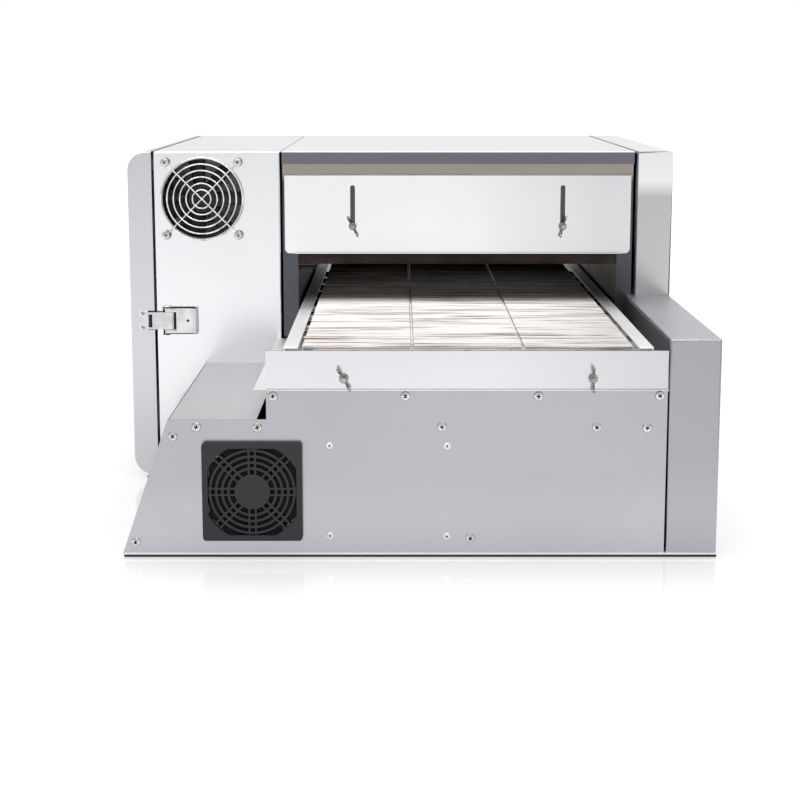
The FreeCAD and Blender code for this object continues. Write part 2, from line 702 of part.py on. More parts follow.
def belt_supports():
    rods = []
    total = count("support_count")
    start = f"({heater_rows()[-1]})"
    for end in (NEAR, FAR):
        for i in range(total):
            step = f"({Y_SHAFT} - {start}) / {total + 1}"
            rod = new_bar(f"support_{end + 1}_{i}", "support_radius", f"2 * ({RAIL_OUTER} - rail_wall)")
            y = f"{end} * ({start} + {i + 1} * {step})"
            z = "belt_height - belt_thickness - part_clearance - support_radius"
            rods.append(place(rod, f"{X_BELT} - ({RAIL_OUTER} - rail_wall)", y, z, TO_X))
    grouped("belt_supports", rods)


# One run of the belt: a flat net with three columns of gaps between cross strips.
def belt_run(name, top):
    columns = count("belt_columns")
    rows = int(2 * size(Y_SHAFT) / size("belt_pitch"))
    strand = size("belt_strand")
    column = (size(BELT_WIDTH) - strand) / columns
    row = (2 * size(Y_SHAFT) - strand) / rows
    left = size(f"{X_BELT} - {BELT_HALF}")
    near = -size(Y_SHAFT)
    z = size(top)

    def loop(x_low, y_low, x_high, y_high):
        corners = ((x_low, y_low), (x_high, y_low), (x_high, y_high), (x_low, y_high), (x_low, y_low))
        return Part.makePolygon([FreeCAD.Vector(x, y, z) for x, y in corners])

    wires = [loop(left, near, left + size(BELT_WIDTH), -near)]
    for i in range(columns):
        for j in range(rows):
            x = left + strand + i * column
            y = near + strand + j * row
            wires.append(loop(x, y, x + column - strand, y + row - strand))
    net = doc.addObject("Part::Feature", name)
    face = Part.makeFace(wires, "Part::FaceMakerBullseye")
    net.Shape = face.extrude(FreeCAD.Vector(0, 0, -size("belt_thickness")))
    add_node(net, name)


# The belt where it goes round a shaft: half a tube, with the same columns of gaps.
def belt_wrap(side):
    name = end_name(side, "belt_wrap")
    skin = new_tube(name + "_skin", "wrap_radius", "wrap_radius - belt_thickness", BELT_WIDTH)
    for bar in (skin.Base, skin.Tool):
        bar.Angle = 180
    columns = count("belt_columns")
    column = f"(({BELT_WIDTH} - belt_strand) / {columns})"
    gaps = []
    for i in range(columns):
        for angle in (45, 135):
            gap = new_box(f"{name}_gap_{i}_{angle}", "2 * wrap_radius", "belt_pitch - belt_strand",
                          f"{column} - belt_strand")
            centre = FreeCAD.Rotation(FreeCAD.Vector(0, 0, 1), angle)
            shift = centre.multVec(FreeCAD.Vector(0, -size("belt_pitch - belt_strand") / 2, 0))
            gap.Placement = FreeCAD.Placement(shift, centre)
            tie(gap, "Placement.Base.z", f"belt_strand + {i} * {column}")
            gaps.append(gap)
    wrap = doc.addObject("Part::Cut", name)
    wrap.Base = skin
    wrap.Tool = fused(name + "_gaps", gaps)
    # Stands the half tube on its axis along X, with the open side towards the belt's runs.
    flip = FreeCAD.Rotation(FreeCAD.Vector(1, 0, 0), 180 if side == NEAR else 0)
    return place(wrap, f"{X_BELT} - {BELT_HALF}", f"{side} * {Y_SHAFT}", Z_SHAFT, flip.multiply(TO_X))


def sprocket_outline(x):
    teeth = count("sprocket_teeth")
    root = size("sprocket_root")
    tip = size("wrap_radius - belt_thickness - tooth_clearance")
    base = size("tooth_base") / (2 * root)
    crest = size("tooth_crest") / (2 * tip)
    points = []
    for i in range(teeth):
        for turn, radius in ((-base, root), (-crest, tip), (crest, tip), (base, root)):
            angle = 2 * math.pi * i / teeth + turn
            points.append(FreeCAD.Vector(x, radius * math.cos(angle), radius * math.sin(angle)))
    return Part.makePolygon(points + points[:1])


# A shaft along X with one sprocket under each column of the belt.
def belt_shaft(name, side, right_end):
    left = size(f"{X_BELT} - {RAIL_OUTER} - 2 * rail_wall")
    start = FreeCAD.Vector(left, 0, 0)
    shape = Part.makeCylinder(size("shaft_radius"), size(right_end) - left, start, FreeCAD.Vector(1, 0, 0))
    columns = count("belt_columns")
    width = size("sprocket_width")
    for i in range(columns):
        middle = size(f"{X_BELT} + ({i} - ({columns} - 1) / 2) * {BELT_WIDTH} / {columns}")
        disc = Part.Face(sprocket_outline(middle - width / 2)).extrude(FreeCAD.Vector(width, 0, 0))
        shape = shape.fuse(disc)
    shaft = doc.addObject("Part::Feature", name)
    shaft.Shape = shape.removeSplitter()
    place(shaft, "0", f"{side} * {Y_SHAFT}", Z_SHAFT)
    add_node(shaft, name)


# Flanged bushes: each sits in a rail's web, with its flange on the inside.
def shaft_bearings():
    bushes = []
    bore = "shaft_radius + running_clearance"
    for end in (NEAR, FAR):
        for hand in (NEAR, FAR):
            bush = new_body(f"bush_{end + 1}_{hand + 1}", is_node=False)
            turned(bush, "X", [
                ("-rail_wall", bore), ("bearing_length", bore), ("bearing_length", "bearing_radius"),
                ("rail_wall", "bearing_radius"), ("rail_wall", "bearing_flange"), ("0", "bearing_flange"),
                ("0", "bearing_radius"), ("-rail_wall", "bearing_radius"),
            ])
            facing = FreeCAD.Rotation(FreeCAD.Vector(0, 0, 1), 0 if hand == NEAR else 180)
            x = f"{X_BELT} + {hand} * ({RAIL_OUTER} - rail_wall)"
            bushes.append(place(bush, x, f"{end} * {Y_SHAFT}", Z_SHAFT, facing))
    grouped("shaft_bearings", bushes)


# Right-angle gear motor inside the rear channel, straight on the drive shaft.
def drive_motor():
    motor = new_body("drive_motor")
    left = f"{X_CHANNEL} + wall"
    right = f"{left} + gearbox_side"
    half = "gearbox_side / 2"
    low = f"{Z_SHAFT} - gearbox_height / 2"
    box = rectangle(f"{Y_SHAFT} - {half}", low, f"{Y_SHAFT} + {half}", f"{Z_SHAFT} + gearbox_height / 2")
    prism(motor, "X", [box], left, right)
    drum = (f"{left} + motor_radius", Z_SHAFT, "motor_radius")
    prism(motor, "Y", [drum], f"{Y_SHAFT} - {half} - motor_length", f"{Y_SHAFT} - {half}")
    bore = (Y_SHAFT, Z_SHAFT, "shaft_radius + running_clearance")
    hollow(motor, "X", [bore], left, right)


# Baffles, end covers and the wing nuts that hold them.
def stud_places():
    return [(hand, f"{X_BELT} {sign} stud_spacing / 2") for hand, sign in (("left", "-"), ("right", "+"))]


def baffle(side):
    plate = new_body(end_name(side, "baffle"))
    left = f"{X_HOOD} + baffle_side_gap"
    right = f"{X_HOOD_END} - baffle_side_gap"
    top = f"{Z_MOUTH} + baffle_height"
    face = f"{Y_WALL} + wall"
    low, high = along(side, Y_WALL, face)
    prism(plate, "Y", [rectangle(left, Z_MOUTH, right, top)], low, high)
    round_edges(plate, "baffle_corner", edges_at("y", x=(left, right), z=Z_MOUTH))
    fold_low, fold_high = along(side, Y_WALL, f"{face} + baffle_lip")
    inset = "(2 * baffle_corner)"
    lip = rectangle(f"{left} + {inset}", fold_low, f"{right} - {inset}", fold_high)
    prism(plate, "Z", [lip], Z_MOUTH, f"{Z_MOUTH} + wall")
    slot_low = f"({Z_MOUTH} + slot_bottom)"
    slot_high = f"({slot_low} + slot_length + slot_width)"
    slots = [
        rectangle(f"{x} - slot_width / 2", slot_low, f"{x} + slot_width / 2", slot_high)
        for _, x in stud_places()
    ]
    hollow(plate, "Y", slots, low, high)
    ends = tuple(f"{x} {sign} slot_width / 2" for _, x in stud_places() for sign in "-+")
    round_edges(plate, "slot_width / 2 - part_clearance / 4", edges_at("y", x=ends, z=(slot_low, slot_high)))


def end_cover(side):
    cover = new_body(end_name(side, "end_cover"))
    top = "deck_height + end_cover_height"
    outline = [
        ("0", "deck_height"), ("wall + cover_lip", "deck_height"), ("wall + cover_lip", "deck_height + wall"),
        ("wall", "deck_height + wall"), ("wall", f"{top} - wall"), ("wall + cover_lip", f"{top} - wall"),
        ("wall + cover_lip", top), ("0", top),
    ]
    sign = "-" if side == NEAR else ""
    outline = [(f"{sign}({Y_DECK} + {y})", z) for y, z in outline]
    prism(cover, "X", [outline], X_STEP, X_PANEL)
    holes = [(x, Z_COVER_STUD, "stud_radius + part_clearance") for _, x in stud_places()]
    hollow(cover, "Y", holes, *along(side, Y_DECK, Y_END))


# Studs: those of the baffles stand on the tunnel's end walls, those of the end covers on small plates
# that rise from the deck behind the cover.
def wing_studs():
    studs = []
    for side in (NEAR, FAR):
        for hand, x in stud_places():
            stud = new_body(f"{end_name(side, hand)}_baffle_stud", is_node=False)
            bolt = (x, Z_BAFFLE_STUD, "stud_radius")
            prism(stud, "Y", [bolt], *along(side, Y_WALL, f"{Y_WALL} + stud_length"))
            studs.append(stud)
            stud = new_body(f"{end_name(side, hand)}_cover_stud", is_node=False)
            top = f"{Z_COVER_STUD} + stud_plate"
            plate = rectangle(f"{x} - stud_plate", "deck_height", f"{x} + stud_plate", top)
            prism(stud, "Y", [plate], *along(side, f"{Y_DECK} - rail_wall", Y_DECK))
            bolt = (x, Z_COVER_STUD, "stud_radius")
            prism(stud, "Y", [bolt], *along(side, Y_DECK, f"{Y_DECK} + stud_length"))
            studs.append(stud)
    grouped("wing_studs", studs)


# A wing nut on the Y axis: seat at zero, wings towards -Y.
def wing_nut(name, side, x, y, z, angle):
    nut = new_body(name)
    bore = "stud_radius + running_clearance"
    turned(nut, "Y", [
        ("0", bore), ("0", "nut_hub"), ("-nut_height", "nut_hub - nut_taper"), ("-nut_height", bore),
    ])
    reach = "(nut_span / 2)"
    for hand in "-+":
        wing = [
            (f"{hand}wing_foot", "-wing_root_rise"), (f"{hand}wing_bend", "-wing_bend_rise"),
            (f"{hand}{reach}", "-nut_height"), (f"{hand}{reach}", "-nut_height - nut_rise"),
            (f"{hand}wing_tip", "-nut_height - nut_rise + wing_tip_drop"), (f"{hand}wing_foot", "-nut_height"),
        ]
        prism(nut, "Z", [wing], "-nut_wing / 2", "nut_wing / 2")
    round_edges(nut, "nut_wing / 2", edges_at("z", x=(f"-{reach}", reach), z="0"))
    facing = FreeCAD.Rotation(FreeCAD.Vector(0, 0, 1), 0 if side == NEAR else 180)
    tilt = FreeCAD.Rotation(FreeCAD.Vector(0, 1, 0), angle)
    place(nut, x, y, z, facing.multiply(tilt))


# How far each wing nut is turned where it was last tightened, in degrees.
NUT_TURNS = {("baffle", "left"): 62, ("baffle", "right"): 105, ("cover", "left"): 60, ("cover", "right"): 90}


def wing_nuts():
    seats = {"baffle": (f"({Y_WALL} + wall)", Z_BAFFLE_STUD), "cover": (Y_END, Z_COVER_STUD)}
    for side in (NEAR, FAR):
        for kind, (y, z) in seats.items():
            for hand, x in stud_places():
                name = end_name(side, f"{kind}_nut_{hand}")
                wing_nut(name, side, x, f"{side} * {y}", z, NUT_TURNS[kind, hand])


# Fans: square frame with struts and a pin, impeller with pitched blades. The front face is at zero, and the
# fan reaches towards +Y.
def fan(name, x, y, z):
    frame = new_body(f"{name}_fan_frame")
    half = "fan_size / 2"
    holes = [(f"{i} * fan_pitch / 2", f"{j} * fan_pitch / 2", "fan_screw") for i in (-1, 1) for j in (-1, 1)]
    square = rectangle(f"-{half}", f"-{half}", half, half)
    prism(frame, "Y", [square, ("0", "0", "fan_bore")] + holes, "0", "fan_depth")
    back = "fan_depth - strut_depth"
    strut = "fan_pin"
    prism(frame, "Y", [rectangle(f"-{half}", f"-{strut}", half, strut)], back, "fan_depth")
    prism(frame, "Y", [rectangle(f"-{strut}", f"-{half}", strut, half)], back, "fan_depth")
    prism(frame, "Y", [("0", "0", "fan_hub")], back, "fan_depth")
    prism(frame, "Y", [("0", "0", "fan_pin")], "pin_setback", back)
    place(frame, x, y, z)

    wheel = new_body(f"{name}_fan_impeller")
    bore = "fan_pin + running_clearance"
    front = "hub_setback"
    rear = f"{back} - part_clearance"
    pin_end = "pin_setback - part_clearance"
    turned(wheel, "Y", [
        (front, "0"), (front, "fan_hub"), (rear, "fan_hub"), (rear, bore), (pin_end, bore), (pin_end, "0"),
    ])
    middle = "fan_depth / 2"
    rise = "blade_half * sin(blade_pitch)"
    run = "blade_half * cos(blade_pitch)"
    up = "blade_thickness / 2 * cos(blade_pitch)"
    over = "blade_thickness / 2 * sin(blade_pitch)"
    blade = [
        (f"{middle} - {rise} + {up}", f"-{run} - {over}"), (f"{middle} - {rise} - {up}", f"-{run} + {over}"),
        (f"{middle} + {rise} - {up}", f"{run} + {over}"), (f"{middle} + {rise} + {up}", f"{run} - {over}"),
    ]
    pad = prism(wheel, "X", [blade], "fan_hub - wall", "fan_bore - fan_tip_gap")
    doc.recompute()
    polar_copies(wheel, pad, "Y_Axis", "fan_blades")
    place(wheel, x, y, z)


# Wire guard of the upper fan: rings on two crossing wires, held by posts at the fan's screws.
def wire_guard(x, y, z):
    wires = []
    for i in range(count("guard_rings")):
        ring = doc.addObject("Part::Torus", f"guard_ring_{i}")
        tie(ring, "Radius1", f"guard_outer - {i} * guard_step")
        tie(ring, "Radius2", "guard_wire")
        wires.append(ring)
    post = "fan_pitch / 2"
    for i, angle in enumerate((45, 135)):
        spoke = new_bar(f"guard_spoke_{i}", "guard_wire", "fan_pitch * sqrt(2)")
        lean = FreeCAD.Rotation(FreeCAD.Vector(0, 0, 1), angle).multiply(TO_X)
        sign = ("-", "+")[i]
        wires.append(place(spoke, f"{sign}{post}", f"-{post}", "-spoke_offset", lean))
    for i in (-1, 1):
        for j in (-1, 1):
            foot = new_bar(f"guard_post_{i + 1}{j + 1}", "guard_post", "guard_offset")
            wires.append(place(foot, f"{i} * {post}", f"{j} * {post}", "-guard_offset"))
    guard = fused("upper_fan_guard", wires)
    facing = FreeCAD.Rotation(FreeCAD.Vector(1, 0, 0), 90)
    place(guard, x, f"{y} - guard_offset", z, facing)
    add_node(guard, "upper_fan_guard")


# Filter guard of the lower fan: a square moulding whose window holds rings and paired ribs round a hub.
def filter_guard(x, y, z):
    rim = new_body("filter_rim", is_node=False)
    half = "filter_size / 2"
    prism(rim, "Z", [rectangle(f"-{half}", f"-{half}", half, half)], "0", "filter_depth")
    round_edges(rim, "filter_corner", edges_at("z", x=(f"-{half}", half)))
    window = doc.addObject("Part::Common", "filter_window")
    square = new_box("filter_window_square", "2 * filter_window", "2 * filter_window", "filter_depth")
    place(square, "-filter_window", "-filter_window", "0")
    window.Base = square
    window.Tool = new_bar("filter_window_round", half, "filter_depth")
    frame = doc.addObject("Part::Cut", "filter_frame")
    frame.Base = rim
    frame.Tool = window
    bars = [frame]
    hub = new_bar("filter_hub", "filter_hub", "filter_bar_depth")
    bars.append(place(hub, "0", "0", "filter_bar_level"))
    total = count("filter_rings")
    for i in range(total):
        outer = f"filter_hub + {i + 1} * filter_ring_step + filter_ring / 2"
        ring = new_tube(f"filter_ring_{i}", outer, f"{outer} - filter_ring", "filter_bar_depth")
        bars.append(place(ring, "0", "0", "filter_bar_level"))
        for hand in (-1, 1):
            reach = "filter_window + filter_rib" if i % 2 == 0 else f"{half} + filter_rib"
            rib = new_box(f"filter_rib_{i}_{hand + 1}", f"2 * ({reach})", "filter_rib", "filter_bar_depth")
            spin = FreeCAD.Rotation(FreeCAD.Vector(0, 0, 1), 180 * i / total)
            corner = FreeCAD.Vector(-size(reach), size(f"{hand} * filter_rib_gap / 2 - filter_rib / 2"), 0)
            rib.Placement = FreeCAD.Placement(spin.multVec(corner), spin)
            tie(rib, "Placement.Base.z", "filter_bar_level")
            bars.append(rib)
    guard = fused("filter_guard", bars)
    place(guard, x, y, z, FreeCAD.Rotation(FreeCAD.Vector(1, 0, 0), 90))
    add_node(guard, "filter_guard")


# Draw latch on the near end: base and lever on the housing, keeper on the door's end. The claw lies in front
# of the keeper and swings on the lever's crank.
X_LATCH = f"({X_HOUSE} + latch_base_side)"
X_LATCH_PIN = f"({X_LATCH} + latch_pin_side)"
X_CLAW_PIN = f"({X_LATCH_PIN} + latch_crank)"
Y_LATCH_PIN = f"(-({Y_BODY} + latch_pin_stand))"
LATCH_LOW = "(latch_height - latch_base_height / 2)"
LATCH_HIGH = "(latch_height + latch_base_height / 2)"


def latch_base():
    base = new_body("latch_base")
    face = f"-{Y_BODY}"
    right = f"{X_LATCH} + latch_base_length"
    prism(base, "Y", [rectangle(X_LATCH, LATCH_LOW, right, LATCH_HIGH)], f"{face} - wall", face)
    ear = rectangle(X_LATCH, f"{Y_LATCH_PIN} - latch_ear_reach", f"{X_LATCH_PIN} + latch_pin_side", face)
    prism(base, "Z", [ear], LATCH_LOW, f"{LATCH_LOW} + latch_ear")
    prism(base, "Z", [ear], f"{LATCH_HIGH} - latch_ear", LATCH_HIGH)
    prism(base, "Z", [(X_LATCH_PIN, Y_LATCH_PIN, "latch_pin")], LATCH_LOW, LATCH_HIGH)


def latch_lever():
    lever = new_body("latch_lever")
    low = f"({LATCH_LOW} + latch_ear + part_clearance)"
    high = f"({LATCH_HIGH} - latch_ear - part_clearance)"
    gap = "((latch_base_height - claw_height) / 2 - latch_ear - 2 * part_clearance)"
    shoulder = f"{X_CLAW_PIN} + latch_shoulder"
    arm = rectangle(X_LATCH_PIN, f"{Y_LATCH_PIN} - latch_boss", shoulder, f"{Y_LATCH_PIN} + latch_boss")
    tip = f"{X_LATCH} + latch_base_length"
    plate = rectangle(shoulder, f"{Y_LATCH_PIN} - wall", tip, Y_LATCH_PIN)
    prism(lever, "Z", [plate], low, high)
    curl = (f"{tip} - grip_curl", f"{Y_LATCH_PIN} - grip_curl", "grip_curl")
    prism(lever, "Z", [curl], low, high)
    for start, stop in ((low, f"{low} + {gap}"), (f"{high} - {gap}", high)):
        prism(lever, "Z", [arm], start, stop)
        prism(lever, "Z", [(X_LATCH_PIN, Y_LATCH_PIN, "latch_boss")], start, stop)
    prism(lever, "Z", [(X_CLAW_PIN, Y_LATCH_PIN, "claw_pin")], low, high)
    hollow(lever, "Z", [(X_LATCH_PIN, Y_LATCH_PIN, "latch_pin + running_clearance")], low, high)
    hole = (f"{tip} - lever_hole_side", "latch_height", "lever_hole")
    hollow(lever, "Y", [hole], f"{Y_LATCH_PIN} - wall", Y_LATCH_PIN)


def latch_claw():
    claw = new_body("latch_claw")
    low = "latch_height - claw_height / 2"
    high = "latch_height + claw_height / 2"
    back = f"{Y_LATCH_PIN} - latch_pin - part_clearance"
    strap = rectangle(f"{X_CLAW_PIN} - claw_reach", f"{back} - claw_thickness", X_CLAW_PIN, back)
    prism(claw, "Z", [strap], low, high)
    prism(claw, "Z", [(X_CLAW_PIN, Y_LATCH_PIN, "claw_boss")], low, high)
    hollow(claw, "Z", [(X_CLAW_PIN, Y_LATCH_PIN, "claw_pin + running_clearance")], low, high)
    left = f"{X_CLAW_PIN} - claw_reach + claw_bail"
    sill = "latch_height - claw_window_height / 2"
    window = rectangle(left, sill, f"{left} + claw_window", f"{sill} + claw_window_height")
    hollow(claw, "Y", [window], f"{back} - claw_thickness", back)


def latch_keeper():
    keeper = new_body("latch_keeper")
    face = f"-{Y_BODY}"
    left = f"{X_SKIN} + keeper_side"
    right = f"{left} + keeper_length"
    low = "latch_height - keeper_height / 2"
    high = "latch_height + keeper_height / 2"
    front = f"{Y_LATCH_PIN} - latch_pin"
    prism(keeper, "Y", [rectangle(left, low, right, high)], f"{face} - wall", face)
    hook = rectangle(f"{left} + keeper_hook_side", front, f"{left} + keeper_hook_side + keeper_hook", face)
    half = "(claw_window_height / 2 - part_clearance)"
    prism(keeper, "Z", [hook], f"latch_height - {half}", f"latch_height + {half}")


# Door hinges at the far end: the pin and outer knuckles stay on the housing, the middle knuckle is the door's.
X_HINGE = f"(({X_DOOR} + {X_HOUSE}) / 2)"
Y_HINGE = f"({Y_BODY} + hinge_knuckle + part_clearance)"


def hinge_part(name, low, is_door):
    leaf = new_body(name, is_node=False)
    hand = "-" if is_door else "+"
    third = "(hinge_height / 3)"
    gap = "(part_clearance / 2)"
    if is_door:
        knuckles = [(f"{low} + {third} + {gap}", f"{low} + 2 * {third} - {gap}")]
    else:
        knuckles = [(low, f"{low} + {third} - {gap}"), (f"{low} + 2 * {third} + {gap}", f"{low} + 3 * {third}")]
    inner = f"{X_HINGE} {hand} (hinge_knuckle + part_clearance)"
    outer = f"{X_HINGE} {hand} hinge_leaf"
    prism(leaf, "Z", [rectangle(inner, Y_BODY, outer, f"{Y_BODY} + wall")], low, f"{low} + hinge_height")
    for start, stop in knuckles:
        bridge = rectangle(X_HINGE, f"{Y_BODY} + part_clearance", inner, f"{Y_BODY} + wall")
        prism(leaf, "Z", [bridge], start, stop)
        prism(leaf, "Z", [(X_HINGE, Y_HINGE, "hinge_knuckle")], start, stop)
    if is_door:
        bore = (X_HINGE, Y_HINGE, "hinge_pin + running_clearance")
        hollow(leaf, "Z", [bore], low, f"{low} + hinge_height")
    else:
        prism(leaf, "Z", [(X_HINGE, Y_HINGE, "hinge_pin")], low, f"{low} + hinge_height")
    return leaf


def door_hinges():
    levels = (f"({Z_FLOOR} + hinge_inset)", "(overall_height - hinge_inset - hinge_height)")
    for name, is_door in (("hinge_housing_leaves", False), ("hinge_door_leaves", True)):
        grouped(name, [hinge_part(f"{name}_{i}", low, is_door) for i, low in enumerate(levels)])


# Controls on the near console's slanted face. Each is modelled flat: X to the right as the user sees it,
# Y up the slope and Z out of the plate, and is then laid on the slope.
def lay_on_console(piece, across, up):
    lean = math.atan(size(LEAN))
    right = FreeCAD.Vector(0, -1, 0)
    slope = FreeCAD.Vector(math.sin(lean), 0, math.cos(lean))
    out = FreeCAD.Vector(-math.cos(lean), 0, math.sin(lean))
    foot = FreeCAD.Vector(size(X_FOOT), size(Y_CONSOLE), size("foot_height"))
    spot = foot + right * size(across) + slope * size(f"plate_rise + {up}")
    piece.Placement = FreeCAD.Placement(spot, FreeCAD.Rotation(right, slope, out, "ZXY"))


HALF_CUT = "(plate_length / 2 - plate_border)"
X_DISPLAY = f"({HALF_CUT} - display_inset - display_length / 2)"
X_ROCKER = f"({HALF_CUT} - rocker_inset)"
X_KNOB = f"(-{HALF_CUT} + knob_inset)"
X_BUTTONS = f"({X_KNOB} + button_side)"


def control_plate():
    plate = new_body("control_plate")
    half_x = "plate_length / 2"
    half_y = "plate_height / 2"
    prism(plate, "Z", [rectangle(f"-{half_x}", f"-{half_y}", half_x, half_y)], "0", "plate_thickness")
    round_edges(plate, "plate_corner", edges_at("z", x=(f"-{half_x}", half_x)))
    glass_x = "display_length / 2 + part_clearance"
    glass_y = "display_height / 2 + part_clearance"
    switch_x = "rocker_width / 2 + part_clearance"
    switch_y = "rocker_length / 2 + rocker_room"
    holes = [
        rectangle(f"{X_DISPLAY} - ({glass_x})", f"-({glass_y})", f"{X_DISPLAY} + {glass_x}", glass_y),
        rectangle(f"{X_ROCKER} - ({switch_x})", f"-({switch_y})", f"{X_ROCKER} + {switch_x}", switch_y),
        (X_BUTTONS, "button_split", "button_radius + part_clearance"),
        (X_BUTTONS, "-button_split", "button_radius + part_clearance"),
    ]
    hollow(plate, "Z", holes, "0", "plate_thickness")
    prism(plate, "Z", [(X_KNOB, "0", "knob_shaft")], "plate_thickness", "plate_thickness + spindle_length")
    # The rocker's pivot pin between two cheeks behind the plate.
    for hand in "-+":
        inner = f"{X_ROCKER} {hand} ({switch_x})"
        outer = f"{X_ROCKER} {hand} ({switch_x} + rocker_cheek)"
        cheek = rectangle(inner, "-rocker_cheek", outer, "rocker_cheek")
        prism(plate, "Z", [cheek], "-rocker_depth - rocker_cheek", "0")
    pin = ("0", "-rocker_depth", "rocker_pin")
    prism(plate, "X", [pin], f"{X_ROCKER} - ({switch_x})", f"{X_ROCKER} + {switch_x}")
    lay_on_console(plate, "0", "0")


def display_window():
    glass = new_body("display_window")
    half_x = "display_length / 2"
    half_y = "display_height / 2"
    prism(glass, "Z", [rectangle(f"-{half_x}", f"-{half_y}", half_x, half_y)], "0", "glass_rise")
    rim_x = f"{half_x} + display_rim"
    rim_y = f"{half_y} + display_rim"
    prism(glass, "Z", [rectangle(f"-({rim_x})", f"-({rim_y})", rim_x, rim_y)], "-display_depth", "0")
    lay_on_console(glass, X_DISPLAY, "0")


def rocker_switch():
    rocker = new_body("power_switch")
    half = "rocker_length / 2"
    foot = "-rocker_depth - 2 * rocker_pin"
    outline = [
        ("-rocker_heel", foot), ("rocker_heel", foot), (half, "0"), (half, "rocker_crest"),
        ("0", "rocker_valley"), (f"-{half}", "rocker_crest"), (f"-{half}", "0"),
    ]
    prism(rocker, "X", [outline], "-rocker_width / 2", "rocker_width / 2")
    bore = ("0", "-rocker_depth", "rocker_pin + running_clearance")
    hollow(rocker, "X", [bore], "-rocker_width / 2", "rocker_width / 2")
    lay_on_console(rocker, X_ROCKER, "0")
    # At rest the switch is off, so it leans to one side about its pin.
    pin = rocker.Placement.multVec(FreeCAD.Vector(0, 0, -size("rocker_depth")))
    axis = rocker.Placement.Rotation.multVec(FreeCAD.Vector(1, 0, 0))
    lean = FreeCAD.Placement(FreeCAD.Vector(), FreeCAD.Rotation(axis, -size("rocker_tilt")), pin)
    rocker.Placement = lean.multiply(rocker.Placement)


def push_button(name, up):
    button = new_body(name)
    collar = "button_radius + button_flange"
    top = "plate_thickness + button_height"
    turned(button, "Z", [
        ("-2 * button_flange", "0"), ("-2 * button_flange", collar), ("0", collar), ("0", "button_radius"),
        (top, "button_radius"), (top, "0"),
    ])
    round_edges(button, "button_flange / 2", lambda edge: abs(edge.CenterOfMass.z - size(top)) < 0.01)
    lay_on_console(button, X_BUTTONS, up)


def speed_knob():
    knob = new_body("speed_knob")
    base = "plate_thickness + part_clearance"
    top = "plate_thickness + knob_height"
    bore = "knob_shaft + running_clearance"
    roof = "plate_thickness + spindle_length + part_clearance"
    turned(knob, "Z", [
        (base, bore), (base, "knob_radius"), (f"{base} + knob_skirt", "knob_radius"),
        (f"{base} + knob_skirt + knob_step", "knob_grip"), (top, "knob_face"), (top, "0"),
        (roof, "0"), (roof, bore),
    ])
    lay_on_console(knob, X_KNOB, "0")


# Electrics: power supply and relays on the housing's inner wall, cable gland on the far end panel.
def power_supply():
    supply = new_body("power_supply")
    right = f"{X_SEAM} - wall"
    low = f"{Z_FLOOR} + supply_rise"
    block = rectangle("-supply_length / 2", low, "supply_length / 2", f"{low} + supply_height")
    prism(supply, "X", [block], f"{right} - supply_depth", right)
    round_edges(supply, "2 * wall", edges_at("x", y=("-supply_length / 2", "supply_length / 2")))


def relay_block():
    block = new_body("relay_block")
    right = f"{X_SEAM} - wall"
    total = count("relay_count")
    low = f"{Z_FLOOR} + relay_rise"
    high = f"{low} + relay_height"
    half = f"relay_pitch * {total} / 2"
    sink = rectangle(f"-{half}", f"{low} - sink_border", half, f"{high} + sink_border")
    prism(block, "X", [sink], f"{right} - sink_depth", right)
    for i in range(total):
        y = f"({i} - ({total} - 1) / 2) * relay_pitch"
        relay = rectangle(f"{y} - relay_width / 2", low, f"{y} + relay_width / 2", high)
        prism(block, "X", [relay], f"{right} - sink_depth - relay_depth", f"{right} - sink_depth")


def cable_gland():
    gland = new_body("cable_gland")
    neck = f"{GLAND_NECK} - part_clearance"
    turned(gland, "Y", [
        ("-gland_tail", "gland_bore"), ("gland_length", "gland_bore"), ("gland_length", "gland_nose"),
        ("gland_length / 2", "gland_radius"), ("0", "gland_radius"), ("0", neck), ("-gland_tail", neck),
    ])
    place(gland, X_GLAND, Y_END, "gland_rise")


def build():
    base_and_feet()
    for side in (NEAR, FAR):
        end_panel(side)
        console_cover(side)
        end_wall(side)
        baffle(side)
        end_cover(side)
    grouped("conveyor_decks", [conveyor_deck(side) for side in (NEAR, FAR)])
    rear_channel()
    left_housing()
    door()
    door_hinges()
    hood_top()
    rear_cover()
    tunnel_liner()
    heaters()
    probe()
    grouped("belt_rails", [belt_rail("left_rail", "-"), belt_rail("right_rail", "+")])
    belt_supports()
    belt_run("belt_upper_run", "belt_height")
    belt_run("belt_lower_run", f"{Z_SHAFT} - wrap_radius + belt_thickness")
    grouped("belt_wraps", [belt_wrap(side) for side in (NEAR, FAR)])
    belt_shaft("drive_shaft", FAR, f"{X_CHANNEL} + wall + gearbox_side - rail_wall")
    belt_shaft("idler_shaft", NEAR, f"{X_BELT} + {RAIL_OUTER} + 2 * rail_wall")
    shaft_bearings()
    drive_motor()
    wing_studs()
    wing_nuts()
    fan("upper", X_UPPER_FAN, f"-{Y_BODY} + wall", Z_UPPER_FAN)
    wire_guard(X_UPPER_FAN, f"-{Y_BODY}", Z_UPPER_FAN)
    fan("lower", X_LOWER_FAN, f"-{Y_END} + wall", "lower_fan_rise")
    filter_guard(X_LOWER_FAN, f"-{Y_END}", "lower_fan_rise")
    latch_base()
    latch_lever()
    latch_claw()
    latch_keeper()
    control_plate()
    display_window()
    rocker_switch()
    push_button("start_button", "button_split")
    push_button("stop_button", "-button_split")
    speed_knob()
    power_supply()
    relay_block()
    cable_gland()


